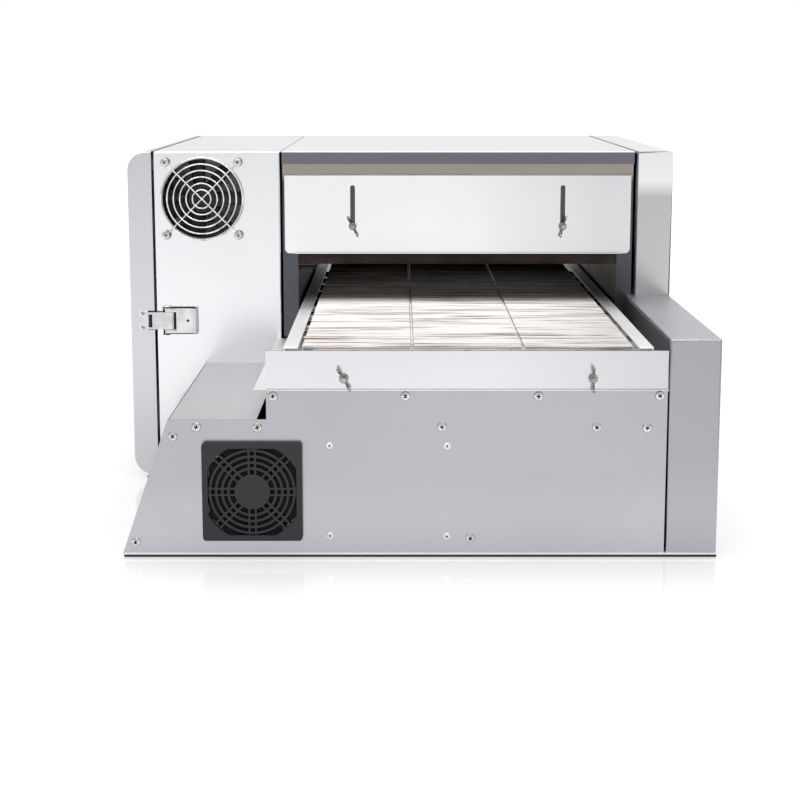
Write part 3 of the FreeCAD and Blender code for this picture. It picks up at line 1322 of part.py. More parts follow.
def check_and_export():
    doc.recompute()
    for thing in doc.Objects:
        if {"Invalid", "Error"} & set(thing.State):
            raise RuntimeError(f"{thing.Label} failed: {thing.State}")
    os.makedirs("parts", exist_ok=True)
    for piece in nodes:
        if piece.Shape.isNull() or not piece.Shape.isValid():
            raise RuntimeError(f"{piece.Label} has no valid shape")
    for piece in nodes:
        piece.Shape.exportStep(f"parts/{piece.Label}.step")
    print(f"{len(nodes)} pieces")


build()
check_and_export()
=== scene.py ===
import json
import math

import bmesh
import bpy
from mathutils import Matrix, Vector


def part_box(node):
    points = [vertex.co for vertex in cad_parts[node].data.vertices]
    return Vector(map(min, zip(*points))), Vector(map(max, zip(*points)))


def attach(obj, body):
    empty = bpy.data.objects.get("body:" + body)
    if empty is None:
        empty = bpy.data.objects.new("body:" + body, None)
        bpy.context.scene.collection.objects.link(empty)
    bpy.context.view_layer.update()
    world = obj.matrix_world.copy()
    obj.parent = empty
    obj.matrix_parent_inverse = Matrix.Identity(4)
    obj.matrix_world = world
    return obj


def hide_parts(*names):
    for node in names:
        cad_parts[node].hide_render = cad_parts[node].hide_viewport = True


# Bench-top conveyor oven: finishes, wire belt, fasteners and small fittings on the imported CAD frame.
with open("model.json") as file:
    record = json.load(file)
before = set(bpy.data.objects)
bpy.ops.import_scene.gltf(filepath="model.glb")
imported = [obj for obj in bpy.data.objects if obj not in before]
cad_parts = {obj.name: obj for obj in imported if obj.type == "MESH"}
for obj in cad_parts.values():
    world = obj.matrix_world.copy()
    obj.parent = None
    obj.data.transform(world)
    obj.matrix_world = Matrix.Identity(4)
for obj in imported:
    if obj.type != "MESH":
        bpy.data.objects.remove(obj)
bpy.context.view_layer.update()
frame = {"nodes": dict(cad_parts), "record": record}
nodes = frame["nodes"]
behaviour = frame["record"]["behaviour"]
bodyOf = {node: body for body, members in behaviour["bodies"].items() for node in members}

# Pieces are laid out in mm. The joints' axes and the faces of the nodes' boxes say where.
mm = 0.001
axisOf = {joint["name"]: Vector(joint["pos_m"]) / mm for joint in behaviour["joints"] if "pos_m" in joint}


def faceOf(node, way):
    low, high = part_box(node)
    corner = high if way[0] == "+" else low
    return corner["XYZ".index(way[1])] / mm


def middleOf(node, axis):
    return (faceOf(node, "-" + axis) + faceOf(node, "+" + axis)) / 2


# Studio, in metres: a pale floor, an even white room and two soft boxes.
studio = {
    "cameraPlace": (0.0, -2.955, 0.595),
    "cameraTilt": 10.33,        # degrees below level
    "lens": 80.66,
    "floorSize": 40.0,
    "halfFootprint": (0.395, 0.785),
    "glossReach": 0.26,         # the floor mirrors the oven near its foot and turns matt this far away
    "floorGloss": (0.5, 0.06),
    # the glow near the oven is weaker: painted shade round its foot
    "floorGlow": (0.38, 0.62),
    "roomLevels": (0.68, 0.95, 0.8),    # what metal sees of the room: in front, behind and overhead
    "softBoxes": {      # place, aim, size and watts
        "frontBox": ((0.0, -2.35, 2.25), (0.0, -0.42, 0.26), (3.6, 0.22), 24),
        "topBox": ((0.0, 0.1, 2.6), (0.0, 0.0, 0.4), (2.6, 2.2), 26),
    },
}


# A colour code as linear light, or a share of that light.
def hexColour(code, share=1.0):
    parts = [int(code[i:i + 2], 16) / 255 for i in (1, 3, 5)]
    light = [c / 12.92 if c <= 0.04045 else ((c + 0.055) / 1.055) ** 2.4 for c in parts]
    return tuple(min(c * share, 1.0) for c in light) + (1.0,)


# Settings and links go by a socket's name or number; stops are the places and colours of a ramp.
def addNode(tree, kind, settings=None, links=None, stops=()):
    node = tree.nodes.new(kind)
    for name, value in (settings or {}).items():
        if isinstance(name, str) and hasattr(node, name):
            setattr(node, name, value)
        else:
            node.inputs[name].default_value = value
    for name, source in (links or {}).items():
        tree.links.new(source, node.inputs[name])
    for i, (position, colour) in enumerate(stops):
        ramp = node.color_ramp.elements
        stop = ramp[i] if i < len(ramp) else ramp.new(position)
        stop.position = position
        stop.color = colour
    return node


def newMaterial(name, settings):
    material = bpy.data.materials.new(name)
    material.use_nodes = True
    tree = material.node_tree
    shader = tree.nodes["Principled BSDF"]
    for socket, value in settings.items():
        shader.inputs[socket].default_value = value
    return material, tree, shader


def buildCamera():
    camera = bpy.data.objects.new("camera", bpy.data.cameras.new("camera"))
    camera.data.lens = studio["lens"]
    camera.location = studio["cameraPlace"]
    camera.rotation_euler = (math.radians(90 - studio["cameraTilt"]), 0, 0)
    scene = bpy.context.scene
    scene.collection.objects.link(camera)
    scene.camera = camera
    scene.view_settings.view_transform = "Standard"


# White acrylic sheet: it glows a little, as a lit table does, and its polish fades away from the oven's foot.
# The glow is weaker near the foot: painted shade round the oven's foot.
def buildFloor():
    material, tree, shader = newMaterial("whiteAcrylicFloor", {
        "Base Color": hexColour("#b8b8b8"), "Roughness": 0.04, "Emission Color": hexColour("#ffffff"),
    })
    coords = addNode(tree, "ShaderNodeTexCoord")
    place = addNode(tree, "ShaderNodeSeparateXYZ", None, {"Vector": coords.outputs["Object"]})
    beyond = []
    for axis, half in zip("XY", studio["halfFootprint"]):
        size = addNode(tree, "ShaderNodeMath", {"operation": "ABSOLUTE"}, {0: place.outputs[axis]})
        excess = addNode(tree, "ShaderNodeMath", {"operation": "SUBTRACT", 1: half}, {0: size.outputs[0]})
        beyond.append(excess.outputs[0])
    away = addNode(tree, "ShaderNodeMath", {"operation": "MAXIMUM"}, {0: beyond[0], 1: beyond[1]})
    fading = {"Specular IOR Level": studio["floorGloss"], "Emission Strength": studio["floorGlow"]}
    for socket, (near, far) in fading.items():
        fade = addNode(tree, "ShaderNodeMapRange",
                       {"From Max": studio["glossReach"], "To Min": near, "To Max": far},
                       {"Value": away.outputs[0]})
        tree.links.new(fade.outputs[0], shader.inputs[socket])
    bm = bmesh.new()
    bmesh.ops.create_grid(bm, x_segments=1, y_segments=1, size=studio["floorSize"] / 2)
    mesh = bpy.data.meshes.new("floor")
    bm.to_mesh(mesh)
    bm.free()
    mesh.materials.append(material)
    floor = bpy.data.objects.new("floor", mesh)
    bpy.context.scene.collection.objects.link(floor)


# The room is white to the eye. As a light it is dimmer in front, where the camera stands.
def buildRoom():
    world = bpy.data.worlds.new("whiteRoom")
    world.use_nodes = True
    tree = world.node_tree
    tree.nodes.clear()
    front, back, over = studio["roomLevels"]
    path = addNode(tree, "ShaderNodeLightPath")
    coords = addNode(tree, "ShaderNodeTexCoord")
    way = addNode(tree, "ShaderNodeSeparateXYZ", None, {"Vector": coords.outputs["Generated"]})
    ahead = addNode(tree, "ShaderNodeMapRange",
                    {"From Min": -1.0, "From Max": 1.0, "To Min": front, "To Max": back},
                    {"Value": way.outputs["Y"]})
    height = addNode(tree, "ShaderNodeMapRange", {"To Max": over},
                     {"Value": way.outputs["Z"], "To Min": ahead.outputs[0]})
    level = addNode(tree, "ShaderNodeMapRange", {"To Max": 1.0},
                    {"Value": path.outputs["Is Camera Ray"], "To Min": height.outputs[0]})
    sky = addNode(tree, "ShaderNodeBackground", {"Color": hexColour("#ffffff")},
                  {"Strength": level.outputs[0]})
    addNode(tree, "ShaderNodeOutputWorld", None, {"Surface": sky.outputs[0]})
    bpy.context.scene.world = world


def buildSoftBoxes():
    for name, (place, aim, size, watts) in studio["softBoxes"].items():
        light = bpy.data.lights.new(name, "AREA")
        light.shape = "RECTANGLE"
        light.size, light.size_y = size
        light.energy = watts
        lamp = bpy.data.objects.new(name, light)
        lamp.location = place
        lamp.rotation_euler = (Vector(aim) - Vector(place)).to_track_quat("-Z", "Y").to_euler()
        bpy.context.scene.collection.objects.link(lamp)


buildCamera()
buildFloor()
buildRoom()
buildSoftBoxes()
print("studio ready")


# Belt-ground stainless sheet: fine lines one way, soft wide highlights, slight clouding from handling. The
# lines are really 0.2 mm wide and are drawn at 1.6 mm, because finer ones vanish in the render.
grain = {
    "width": 1.6 * mm, "length": 140 * mm, "cloud": 260 * mm,
    "tones": (0.96, 1.03), "lineShare": 0.14, "glossDrift": 0.025,
    "relief": (0.015, 0.1 * mm),    # strength and depth of the lines
}


# A painted fade takes the tone to a share of itself along one axis, from the second place to the first:
# painted light where the share is above one, painted shade where it is below.
def sheetSteel(name, colour, alongAxis, roughness, paintedFade=None):
    material, tree, shader = newMaterial(name, {"Metallic": 1.0, "Roughness": roughness})
    stretch = [1 / grain["width"]] * 3
    stretch["XYZ".index(alongAxis)] = 1 / grain["length"]
    coords = addNode(tree, "ShaderNodeTexCoord")
    lay = addNode(tree, "ShaderNodeMapping", {"Scale": stretch}, {"Vector": coords.outputs["Object"]})
    lines = addNode(tree, "ShaderNodeTexNoise", {"Scale": 1.0, "Detail": 3.0}, {"Vector": lay.outputs[0]})
    cloud = addNode(tree, "ShaderNodeTexNoise", {"Scale": 1 / grain["cloud"], "Detail": 2.0},
                    {"Vector": coords.outputs["Object"]})
    both = addNode(tree, "ShaderNodeMix", {"Factor": grain["lineShare"]},
                   {"A": cloud.outputs[0], "B": lines.outputs[0]})
    darker, lighter = (hexColour(colour, share) for share in grain["tones"])
    tone = addNode(tree, "ShaderNodeValToRGB", None, {"Fac": both.outputs[0]},
                   ((0.3, darker), (0.7, lighter)))
    drift = grain["glossDrift"]
    spread = addNode(tree, "ShaderNodeMapRange", {"To Min": roughness - drift, "To Max": roughness + drift},
                     {"Value": lines.outputs[0]})
    strength, depth = grain["relief"]
    bump = addNode(tree, "ShaderNodeBump", {"Strength": strength, "Distance": depth},
                   {"Height": lines.outputs[0]})
    surface = tone
    if paintedFade:
        axis, first, second, share = paintedFade
        place = addNode(tree, "ShaderNodeSeparateXYZ", None, {"Vector": coords.outputs["Object"]})
        fade = addNode(tree, "ShaderNodeMapRange",
                       {"From Min": first * mm, "From Max": second * mm, "To Min": share},
                       {"Value": place.outputs[axis]})
        surface = addNode(tree, "ShaderNodeVectorMath", {"operation": "MULTIPLY"},
                          {0: tone.outputs["Color"], 1: fade.outputs[0]})
    tree.links.new(surface.outputs[0], shader.inputs["Base Color"])
    tree.links.new(spread.outputs[0], shader.inputs["Roughness"])
    tree.links.new(bump.outputs[0], shader.inputs["Normal"])
    return material


# Bare or plated metal with no grain: cloudy tone and roughness only, as oil, heat or handling leave it.
def plainMetal(name, light, dark, roughness, patch):
    material, tree, shader = newMaterial(name, {"Metallic": 1.0})
    coords = addNode(tree, "ShaderNodeTexCoord")
    cloud = addNode(tree, "ShaderNodeTexNoise", {"Scale": 1 / (patch * mm), "Detail": 3.0},
                    {"Vector": coords.outputs["Object"]})
    tone = addNode(tree, "ShaderNodeValToRGB", None, {"Fac": cloud.outputs[0]},
                   ((0.35, hexColour(dark)), (0.65, hexColour(light))))
    spread = addNode(tree, "ShaderNodeMapRange", {"To Min": roughness - 0.05, "To Max": roughness + 0.08},
                     {"Value": cloud.outputs[0]})
    tree.links.new(tone.outputs["Color"], shader.inputs["Base Color"])
    tree.links.new(spread.outputs[0], shader.inputs["Roughness"])
    return material


# Stainless that heat has tinted, with painted shade in the same ramp: warm grey where it stays cool, brown
# below that, dark blue-grey round the tunnel's mouth. The brown and the dark are partly heat tint and partly
# painted shade, where the hood and the baffles shade the wall and its slots. The borders between them wander.
def heatTintAndPaintedShade(name, cool, warm, hotShade, hotShadeLevel, coolLevel, patch=50, wander=6):
    material, tree, shader = newMaterial(name, {"Metallic": 1.0, "Roughness": 0.22})
    coords = addNode(tree, "ShaderNodeTexCoord")
    cloud = addNode(tree, "ShaderNodeTexNoise", {"Scale": 1 / (patch * mm), "Detail": 3.0},
                    {"Vector": coords.outputs["Object"]})
    place = addNode(tree, "ShaderNodeSeparateXYZ", None, {"Vector": coords.outputs["Object"]})
    drift = addNode(tree, "ShaderNodeMapRange", {"To Min": -wander * mm, "To Max": wander * mm},
                    {"Value": cloud.outputs[0]})
    level = addNode(tree, "ShaderNodeMath", {"operation": "ADD"},
                    {0: place.outputs["Z"], 1: drift.outputs[0]})
    heatAndShade = addNode(tree, "ShaderNodeMapRange", {"From Min": hotShadeLevel * mm, "From Max": coolLevel * mm},
                   {"Value": level.outputs[0]})
    tone = addNode(tree, "ShaderNodeValToRGB", None, {"Fac": heatAndShade.outputs[0]},
                   ((0.0, hexColour(hotShade)), (0.84, hexColour(warm)), (1.0, hexColour(cool))))
    tree.links.new(tone.outputs["Color"], shader.inputs["Base Color"])
    return material


# Moulded plastic or rubber: a spark-eroded grain breaks up the gloss, and the tone drifts a little.
def moulded(name, colour, roughness, grit, relief, patch=40):
    material, tree, shader = newMaterial(name, {"IOR": 1.5})
    coords = addNode(tree, "ShaderNodeTexCoord")
    pits = addNode(tree, "ShaderNodeTexNoise", {"Scale": 1 / (grit * mm), "Detail": 2.0},
                   {"Vector": coords.outputs["Object"]})
    drift = addNode(tree, "ShaderNodeTexNoise", {"Scale": 1 / (patch * mm)},
                    {"Vector": coords.outputs["Object"]})
    tone = addNode(tree, "ShaderNodeValToRGB", None, {"Fac": drift.outputs[0]},
                   ((0.0, hexColour(colour, 0.85)), (1.0, hexColour(colour, 1.15))))
    spread = addNode(tree, "ShaderNodeMapRange", {"To Min": roughness - 0.06, "To Max": roughness + 0.08},
                     {"Value": pits.outputs[0]})
    bump = addNode(tree, "ShaderNodeBump", {"Strength": relief, "Distance": 0.05 * mm},
                   {"Height": pits.outputs[0]})
    tree.links.new(tone.outputs["Color"], shader.inputs["Base Color"])
    tree.links.new(spread.outputs[0], shader.inputs["Roughness"])
    tree.links.new(bump.outputs[0], shader.inputs["Normal"])
    return material


# Painted fades, levels, patches of tone and the grit of a moulding are in mm.
finishes = {
    # Lighter towards the bottom: painted light, as from the floor below.
    "endSheet": sheetSteel("groundStainlessEnd", "#afafb5", "X", 0.26, ("Z", 5, 100, 1.25)),
    "bodySheet": sheetSteel("groundStainlessBody", "#e6e6e9", "Z", 0.20),
    "topSheet": sheetSteel("groundStainlessTop", "#e9e9ec", "Y", 0.20),
    # Darker towards +X: painted shade, on this sheet and the next.
    "brightSheet": sheetSteel("polishedStainless", "#e6e6e8", "X", 0.15, ("X", 300, 110, 0.82)),
    "coverSheet": sheetSteel("satinStainlessCover", "#d8d8dc", "X", 0.20, ("X", 330, 110, 0.86)),
    # A dark copy of the stainless: painted shade, on the hood's front faces and along bends.
    "paintedShadeSheet": sheetSteel("paintedShadeStainless", "#75737a", "X", 0.36),
    # Darker below 418 mm: painted shade.
    "rearSheet": sheetSteel("groundStainlessRear", "#eaeaeb", "Z", 0.18, ("Z", 418, 442, 0.58)),
    "doorSheet": sheetSteel("groundStainlessDoor", "#cbcbd0", "Z", 0.24),
    # Lighter towards the bottom: painted light, as from the floor below.
    "channelSheet": sheetSteel("groundStainlessChannel", "#a5a5ab", "Y", 0.26, ("Z", 5, 120, 1.2)),
    # The channel's top: a lighter, rougher copy of its sheet, painted light on the top.
    "channelTop": sheetSteel("paintedLightStainlessChannelTop", "#bababe", "Y", 0.45),
    # The console covers' tops: a lighter, rougher copy of their sheet, painted light on the top.
    "ledgeSheet": sheetSteel("paintedLightStainlessLedge", "#e4e4e6", "Y", 0.38),
    # Heat tint and painted shade on the end walls.
    "tintedShadedSheet": heatTintAndPaintedShade("heatTintedAndShadedStainless", "#9b948e", "#57504c", "#55565c", 360, 452),
    "railSheet": sheetSteel("rolledStainlessRail", "#f4f4f4", "Y", 0.5),
    # Dark metal as painted shade: in screw recesses and rivet cores, as the vent slots, inside the latch and
    # on the console covers' end faces.
    "paintedShadeMetal": plainMetal("paintedShadeDarkMetal", "#4a494d", "#38373b", 0.5, 12),
    "linerSheet": plainMetal("scaledStainlessLiner", "#837c7c", "#5e5859", 0.42, 60),
    # Dark as painted shade, for the lips in the tunnel's mouths.
    "paintedShadeLipSheet": plainMetal("paintedShadeLipStainless", "#453f3d", "#332e2c", 0.5, 40),
    "heaterTube": plainMetal("oxidisedHeaterTube", "#4b4340", "#2f2a2a", 0.55, 30),
    "turnedSteel": plainMetal("turnedSteel", "#b9b9bb", "#98989b", 0.28, 25),
    "latchSteel": plainMetal("nickelPlatedLatch", "#dededf", "#c4c3c6", 0.20, 18),
    "nutZinc": plainMetal("zincPlatedNut", "#aaa4a0", "#857f7b", 0.24, 8),
    "rivetSteel": plainMetal("brightRivet", "#f0f0f3", "#dcdce1", 0.42, 5),
    "screwNickel": plainMetal("nickelPlatedScrew", "#e6e0de", "#cdc6c4", 0.20, 6),
    "chromeWire": plainMetal("chromePlatedWire", "#f1f0ee", "#dddcdb", 0.10, 20),
    "bronze": plainMetal("sinteredBronze", "#a8804c", "#86622f", 0.45, 6),
    "caseSheet": plainMetal("plainAluminiumCase", "#c3c3c2", "#acacab", 0.4, 40),
    "blackPlastic": moulded("mouldedBlackNylon", "#0d0d0e", 0.42, 0.9, 0.15),
    "charcoalPlastic": moulded("mouldedCharcoalAbs", "#1d1e22", 0.5, 0.9, 0.12),
    "filterFoam": moulded("openCellFoam", "#08080a", 0.85, 1.6, 0.9),
    "padPrint": moulded("whitePadPrint", "#d6d6d2", 0.5, 1.0, 0.02),
    "rubber": moulded("mouldedRubber", "#1c1c1d", 0.7, 1.2, 0.2),
    "motorEnamel": moulded("hammeredEnamel", "#2f3338", 0.4, 3.0, 0.5),
    "panelCoat": moulded("satinBlackCoating", "#17181b", 0.38, 0.7, 0.1),
    "smokedAcrylic": moulded("smokedAcrylic", "#0b0c10", 0.08, 8.0, 0.0),
    "greenKey": moulded("mouldedGreenKey", "#1f8a3a", 0.24, 1.0, 0.05),
    "redKey": moulded("mouldedRedKey", "#b3191c", 0.24, 1.0, 0.05),
}

# CAD nodes whose shape is right as it is.
nodesOfFinish = {
    "endSheet": ["base_plate", "near_end_panel", "far_end_panel"],
    "tintedShadedSheet": ["near_end_wall", "far_end_wall"],
    "brightSheet": ["near_baffle", "far_baffle"],
    "coverSheet": ["near_end_cover", "far_end_cover"],
    "linerSheet": ["tunnel_liner"],
    "heaterTube": ["heaters"],
    "turnedSteel": ["belt_supports", "drive_shaft", "idler_shaft", "wing_studs"],
    "bronze": ["shaft_bearings"],
    "latchSteel": ["hinge_housing_leaves", "hinge_door_leaves"],
    "chromeWire": ["upper_fan_guard"],
    "blackPlastic": ["upper_fan_frame", "upper_fan_impeller", "lower_fan_frame", "lower_fan_impeller",
                     "tunnel_probe", "power_switch", "speed_knob", "cable_gland"],
    "charcoalPlastic": ["filter_guard"],
    "rubber": ["feet"],
    "motorEnamel": ["drive_motor"],
    "caseSheet": ["power_supply"],
    "panelCoat": ["control_plate"],
    "smokedAcrylic": ["display_window"],
    "greenKey": ["start_button"],
    "redKey": ["stop_button"],
}
for finish, members in nodesOfFinish.items():
    for node in members:
        nodes[node].data.materials.clear()
        nodes[node].data.materials.append(finishes[finish])
print("finishes on", sum(len(members) for members in nodesOfFinish.values()), "CAD nodes")


# Every new piece keeps its place in its mesh and takes its slot from the node it stands for or sits on.
def finishPiece(name, bm, materials, node, replaces=False):
    mesh = bpy.data.meshes.new(name)
    bm.to_mesh(mesh)
    bm.free()
    for material in materials:
        mesh.materials.append(finishes[material])
    piece = bpy.data.objects.new(name, mesh)
    bpy.context.scene.collection.objects.link(piece)
    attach(piece, bodyOf[node])
    if replaces:
        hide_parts(node)
    return piece


# A CAD node's shape with its flat faces whole again, ready to be rounded.
def cadShape(node):
    bm = bmesh.new()
    bm.from_mesh(nodes[node].data)
    bmesh.ops.remove_doubles(bm, verts=bm.verts, dist=0.01 * mm)
    bmesh.ops.dissolve_limit(bm, angle_limit=math.radians(0.5), verts=bm.verts, edges=bm.edges)
    return bm


# Folded sheet: the CAD shape with the small outside radius that a press brake leaves on every bend.
folding = {
    "curveAngles": (math.radians(1), math.radians(35)),     # faces that meet so are one drawn curve
    "bendAngle": math.radians(40),                          # and from here on they meet in a bend
    "bendWidth": 5 * mm,                                    # a narrower face is part of a curve or bend
    "bendRoom": 2.4,                                        # a bend needs faces this many radii wide
}


def faceWidth(face):
    return 2 * face.calc_area() / sum(edge.calc_length() for edge in face.edges)


# The first finish goes all over. Faces across otherAxes get the next ones in turn, bends get the one that
# bendFinish numbers, and front faces between the two shaded places (X in mm) get the second.
def foldedSheet(node, materials, radius, otherAxes="", shaded=(), bendFinish=0, clamp=True):
    bm = cadShape(node)
    low, high = folding["curveAngles"]
    for edge in bm.edges:
        if len(edge.link_faces) == 2 and low < edge.calc_face_angle() < high:
            for face in edge.link_faces:
                face.smooth = face.smooth or faceWidth(face) < folding["bendWidth"]
    bends = [
        edge for edge in bm.edges
        if len(edge.link_faces) == 2 and edge.is_convex and edge.calc_face_angle() > folding["bendAngle"]
        and min(faceWidth(face) for face in edge.link_faces) > folding["bendRoom"] * radius * mm
    ]
    rounded = bmesh.ops.bevel(bm, geom=bends, offset=radius * mm, offset_type="OFFSET", affect="EDGES",
                              segments=3, profile=0.5, material=-1, clamp_overlap=clamp)
    for face in rounded["faces"]:
        face.smooth = True
    for border in shaded:
        bmesh.ops.bisect_plane(bm, geom=bm.verts[:] + bm.edges[:] + bm.faces[:], plane_co=(border * mm, 0, 0),
                               plane_no=(1, 0, 0))
    for face in bm.faces:
        for other, axis in enumerate(otherAxes, 1):
            if abs(face.normal["XYZ".index(axis)]) > 0.9:
                face.material_index = other
        if bendFinish and faceWidth(face) < folding["bendWidth"] and max(abs(c) for c in face.normal) < 0.99:
            face.material_index = bendFinish
        if shaded and face.normal.y < -0.9:
            face.material_index = int(shaded[0] * mm < face.calc_center_median().x < shaded[1] * mm)
    finishPiece(node + "_folded", bm, materials, node, replaces=True)


# Finishes, bend radius in mm, and where the further finishes go.
# On the console covers the end faces and the bends are dark, painted shade; the tops are painted light.
consoleCover = (["endSheet", "ledgeSheet", "paintedShadeMetal", "paintedShadeSheet"], 2.0, {"otherAxes": "ZY", "bendFinish": 3})
foldedSheets = {
    "door": (["doorSheet"], 1.5, {}),
    "belt_rails": (["railSheet"], 0.8, {}),
    "latch_lever": (["latchSteel"], 0.5, {}),
    "latch_claw": (["latchSteel"], 0.5, {}),
    # Inside the latch, the base's plate and the keeper beside its hook are painted dark: painted shade.
    "latch_base": (["latchSteel", "paintedShadeMetal"], 0.5, {"shaded": (-350, -300)}),
    "latch_keeper": (["latchSteel", "paintedShadeMetal"], 0.5, {"shaded": (-369, -360)}),
    "left_housing": (["bodySheet", "endSheet"], 2.0, {"otherAxes": "X"}),
    "conveyor_decks": (["bodySheet", "railSheet", "endSheet"], 2.0, {"otherAxes": "ZY"}),
    # The hood's front faces take the dark sheet: painted shade.
    "hood_top": (["topSheet", "paintedShadeSheet"], 2.0, {"otherAxes": "Y"}),
    "rear_channel": (["channelSheet", "channelTop"], 2.5, {"otherAxes": "Z"}),
    "near_console_cover": consoleCover,
    "far_console_cover": consoleCover,
    # Its bends take the dark sheet: a painted line of shade along each bend.
    "rear_cover": (["rearSheet", "paintedShadeSheet"], 3.0, {"bendFinish": 1, "clamp": False}),
}
for node, (materials, radius, options) in foldedSheets.items():
    foldedSheet(node, materials, radius, **options)
print("folded sheets", len(foldedSheets))


# Small fittings are made once, with +Z as the way they face, and then set in place as often as needed.
squareAngle = math.radians(70)      # an edge that turns further than this is eased


def fitting(bm, name, finish=0):
    for face in bm.faces:
        face.smooth = True
        face.material_index = finish
    mesh = bpy.data.meshes.new(name)
    bm.to_mesh(mesh)
    bm.free()
    mesh.set_sharp_from_angle(angle=math.radians(32))
    return mesh


# A half outline goes round +Z; where it is closed, the shape is a ring.
def turnedFitting(name, outline, steps, closed=False, finish=0):
    bm = bmesh.new()
    verts = [bm.verts.new((radius * mm, 0, height * mm)) for radius, height in outline]
    edges = [bm.edges.new(pair) for pair in zip(verts, verts[1:] + verts[:1] if closed else verts[1:])]
    bmesh.ops.spin(bm, geom=verts + edges, axis=(0, 0, 1), cent=(0, 0, 0), steps=steps, angle=math.tau,
                   use_merge=True)
    bmesh.ops.remove_doubles(bm, verts=bm.verts, dist=0.005 * mm)
    bmesh.ops.recalc_face_normals(bm, faces=bm.faces)
    return fitting(bm, name, finish)


# A plate cut to an outline in X and Y, with rounded corners and eased edges.
def cutFitting(name, outline, thickness, corner=0.0, edge=0.0, finish=0):
    bm = bmesh.new()
    bm.faces.new([bm.verts.new((x * mm, y * mm, 0)) for x, y in outline])
    if corner:
        bmesh.ops.bevel(bm, geom=bm.verts, offset=corner * mm, offset_type="OFFSET", affect="VERTICES",
                        segments=3, profile=0.5, material=-1, clamp_overlap=True)
    raised = bmesh.ops.extrude_face_region(bm, geom=bm.faces)["geom"]
    bmesh.ops.translate(bm, vec=(0, 0, thickness * mm),
                        verts=[item for item in raised if isinstance(item, bmesh.types.BMVert)])
    bmesh.ops.recalc_face_normals(bm, faces=bm.faces)
    if edge:
        rims = [e for e in bm.edges if e.calc_face_angle(0) > squareAngle]
        bmesh.ops.bevel(bm, geom=rims, offset=edge * mm, offset_type="OFFSET", affect="EDGES", segments=2,
                        profile=0.5, material=-1, clamp_overlap=True)
    return fitting(bm, name, finish)


def rectangle(x0, y0, x1, y1):
    return [(x0, y0), (x1, y0), (x1, y1), (x0, y1)]


def stamp(bm, shape, matrix):
    before = len(bm.verts)
    bm.from_mesh(shape)
    bm.verts.ensure_lookup_table()
    bmesh.ops.transform(bm, matrix=matrix, verts=bm.verts[before:])


def facing(place, way, turn=0.0):
    lean = Vector((0, 0, 1)).rotation_difference(Vector(way)).to_matrix().to_4x4()
    return Matrix.Translation(Vector(place) * mm) @ lean @ Matrix.Rotation(math.radians(turn), 4, "Z")


# Belt of bent wire: each strand runs across in three bays and hooks over the next one.
belt = {
    "wire": 0.85, "pitch": 6.0, "inset": 1.0,       # wire radius, strand to strand, in from the belt's edges
    "links": (15.3, 152.7), "hook": (1.3, 2.4),     # places of the hooks between bays, half widths of a hook
    "toe": 6.9, "rise": -1.3,                       # how far a hook reaches along the belt and dips
    "streak": (240, 7),                             # length and width of what has baked on
    # Painted light and shade along the belt and towards its rear edge: places in mm, tones as shares.
    "tunnelLightPlaces": ((60, 200), (285, 340)), "tunnelLightTones": (0.35, 1.3),
    "rearShadePlaces": (130, 289), "rearShadeTone": 0.8,
}


# Stainless wire, straw-tinted by heat: pale and glossy on top, browner where dirt has baked on in streaks.
# Light and shade are painted on it: painted shade just inside the tunnel's mouths, painted light deeper in
# and painted shade towards its rear edge.
def beltWire():
    material, tree, shader = newMaterial("heatTintedBeltWireAndPaintedShade", {"Metallic": 1.0, "Roughness": 0.32})
    coords = addNode(tree, "ShaderNodeTexCoord")
    length, width = (1 / (size * mm) for size in belt["streak"])
    strands = addNode(tree, "ShaderNodeMapping", {"Scale": (length, width, length)},
                      {"Vector": coords.outputs["Object"]})
    streaks = addNode(tree, "ShaderNodeTexNoise", {"Scale": 1.0, "Detail": 3.0, "Roughness": 0.6},
                      {"Vector": strands.outputs[0]})
    tone = addNode(tree, "ShaderNodeValToRGB", None, {"Fac": streaks.outputs[0]},
                   ((0.36, hexColour("#7b6858")), (0.48, hexColour("#dfdbd8"))))
    spread = addNode(tree, "ShaderNodeMapRange", {"To Min": 0.42, "To Max": 0.26},
                     {"Value": streaks.outputs[0]})
    place = addNode(tree, "ShaderNodeSeparateXYZ", None, {"Vector": coords.outputs["Object"]})
    along = addNode(tree, "ShaderNodeMath", {"operation": "ABSOLUTE"}, {0: place.outputs["Y"]})
    inner, outer = belt["tunnelLightPlaces"]
    shadedShare, clear = belt["tunnelLightTones"]
    # Painted shade just inside the mouths, painted light deeper in, painted shade towards the rear edge.
    fades = []
    for (start, end), first, last, source in (
        (inner, clear, shadedShare, along.outputs[0]), (outer, shadedShare, 1.0, along.outputs[0]),
        (belt["rearShadePlaces"], 1.0, belt["rearShadeTone"], place.outputs["X"]),
    ):
        fade = addNode(tree, "ShaderNodeMapRange",
                       {"From Min": start * mm, "From Max": end * mm, "To Min": first, "To Max": last},
                       {"Value": source})
        fades.append(fade.outputs[0])
    tunnelLight = addNode(tree, "ShaderNodeMath", {"operation": "MAXIMUM"}, {0: fades[0], 1: fades[1]})
    paintedShading = addNode(tree, "ShaderNodeMath", {"operation": "MULTIPLY"}, {0: tunnelLight.outputs[0], 1: fades[2]})
    wire = addNode(tree, "ShaderNodeVectorMath", {"operation": "MULTIPLY"},
                   {0: tone.outputs["Color"], 1: paintedShading.outputs[0]})
    tree.links.new(wire.outputs[0], shader.inputs["Base Color"])
    tree.links.new(spread.outputs[0], shader.inputs["Roughness"])
    return material


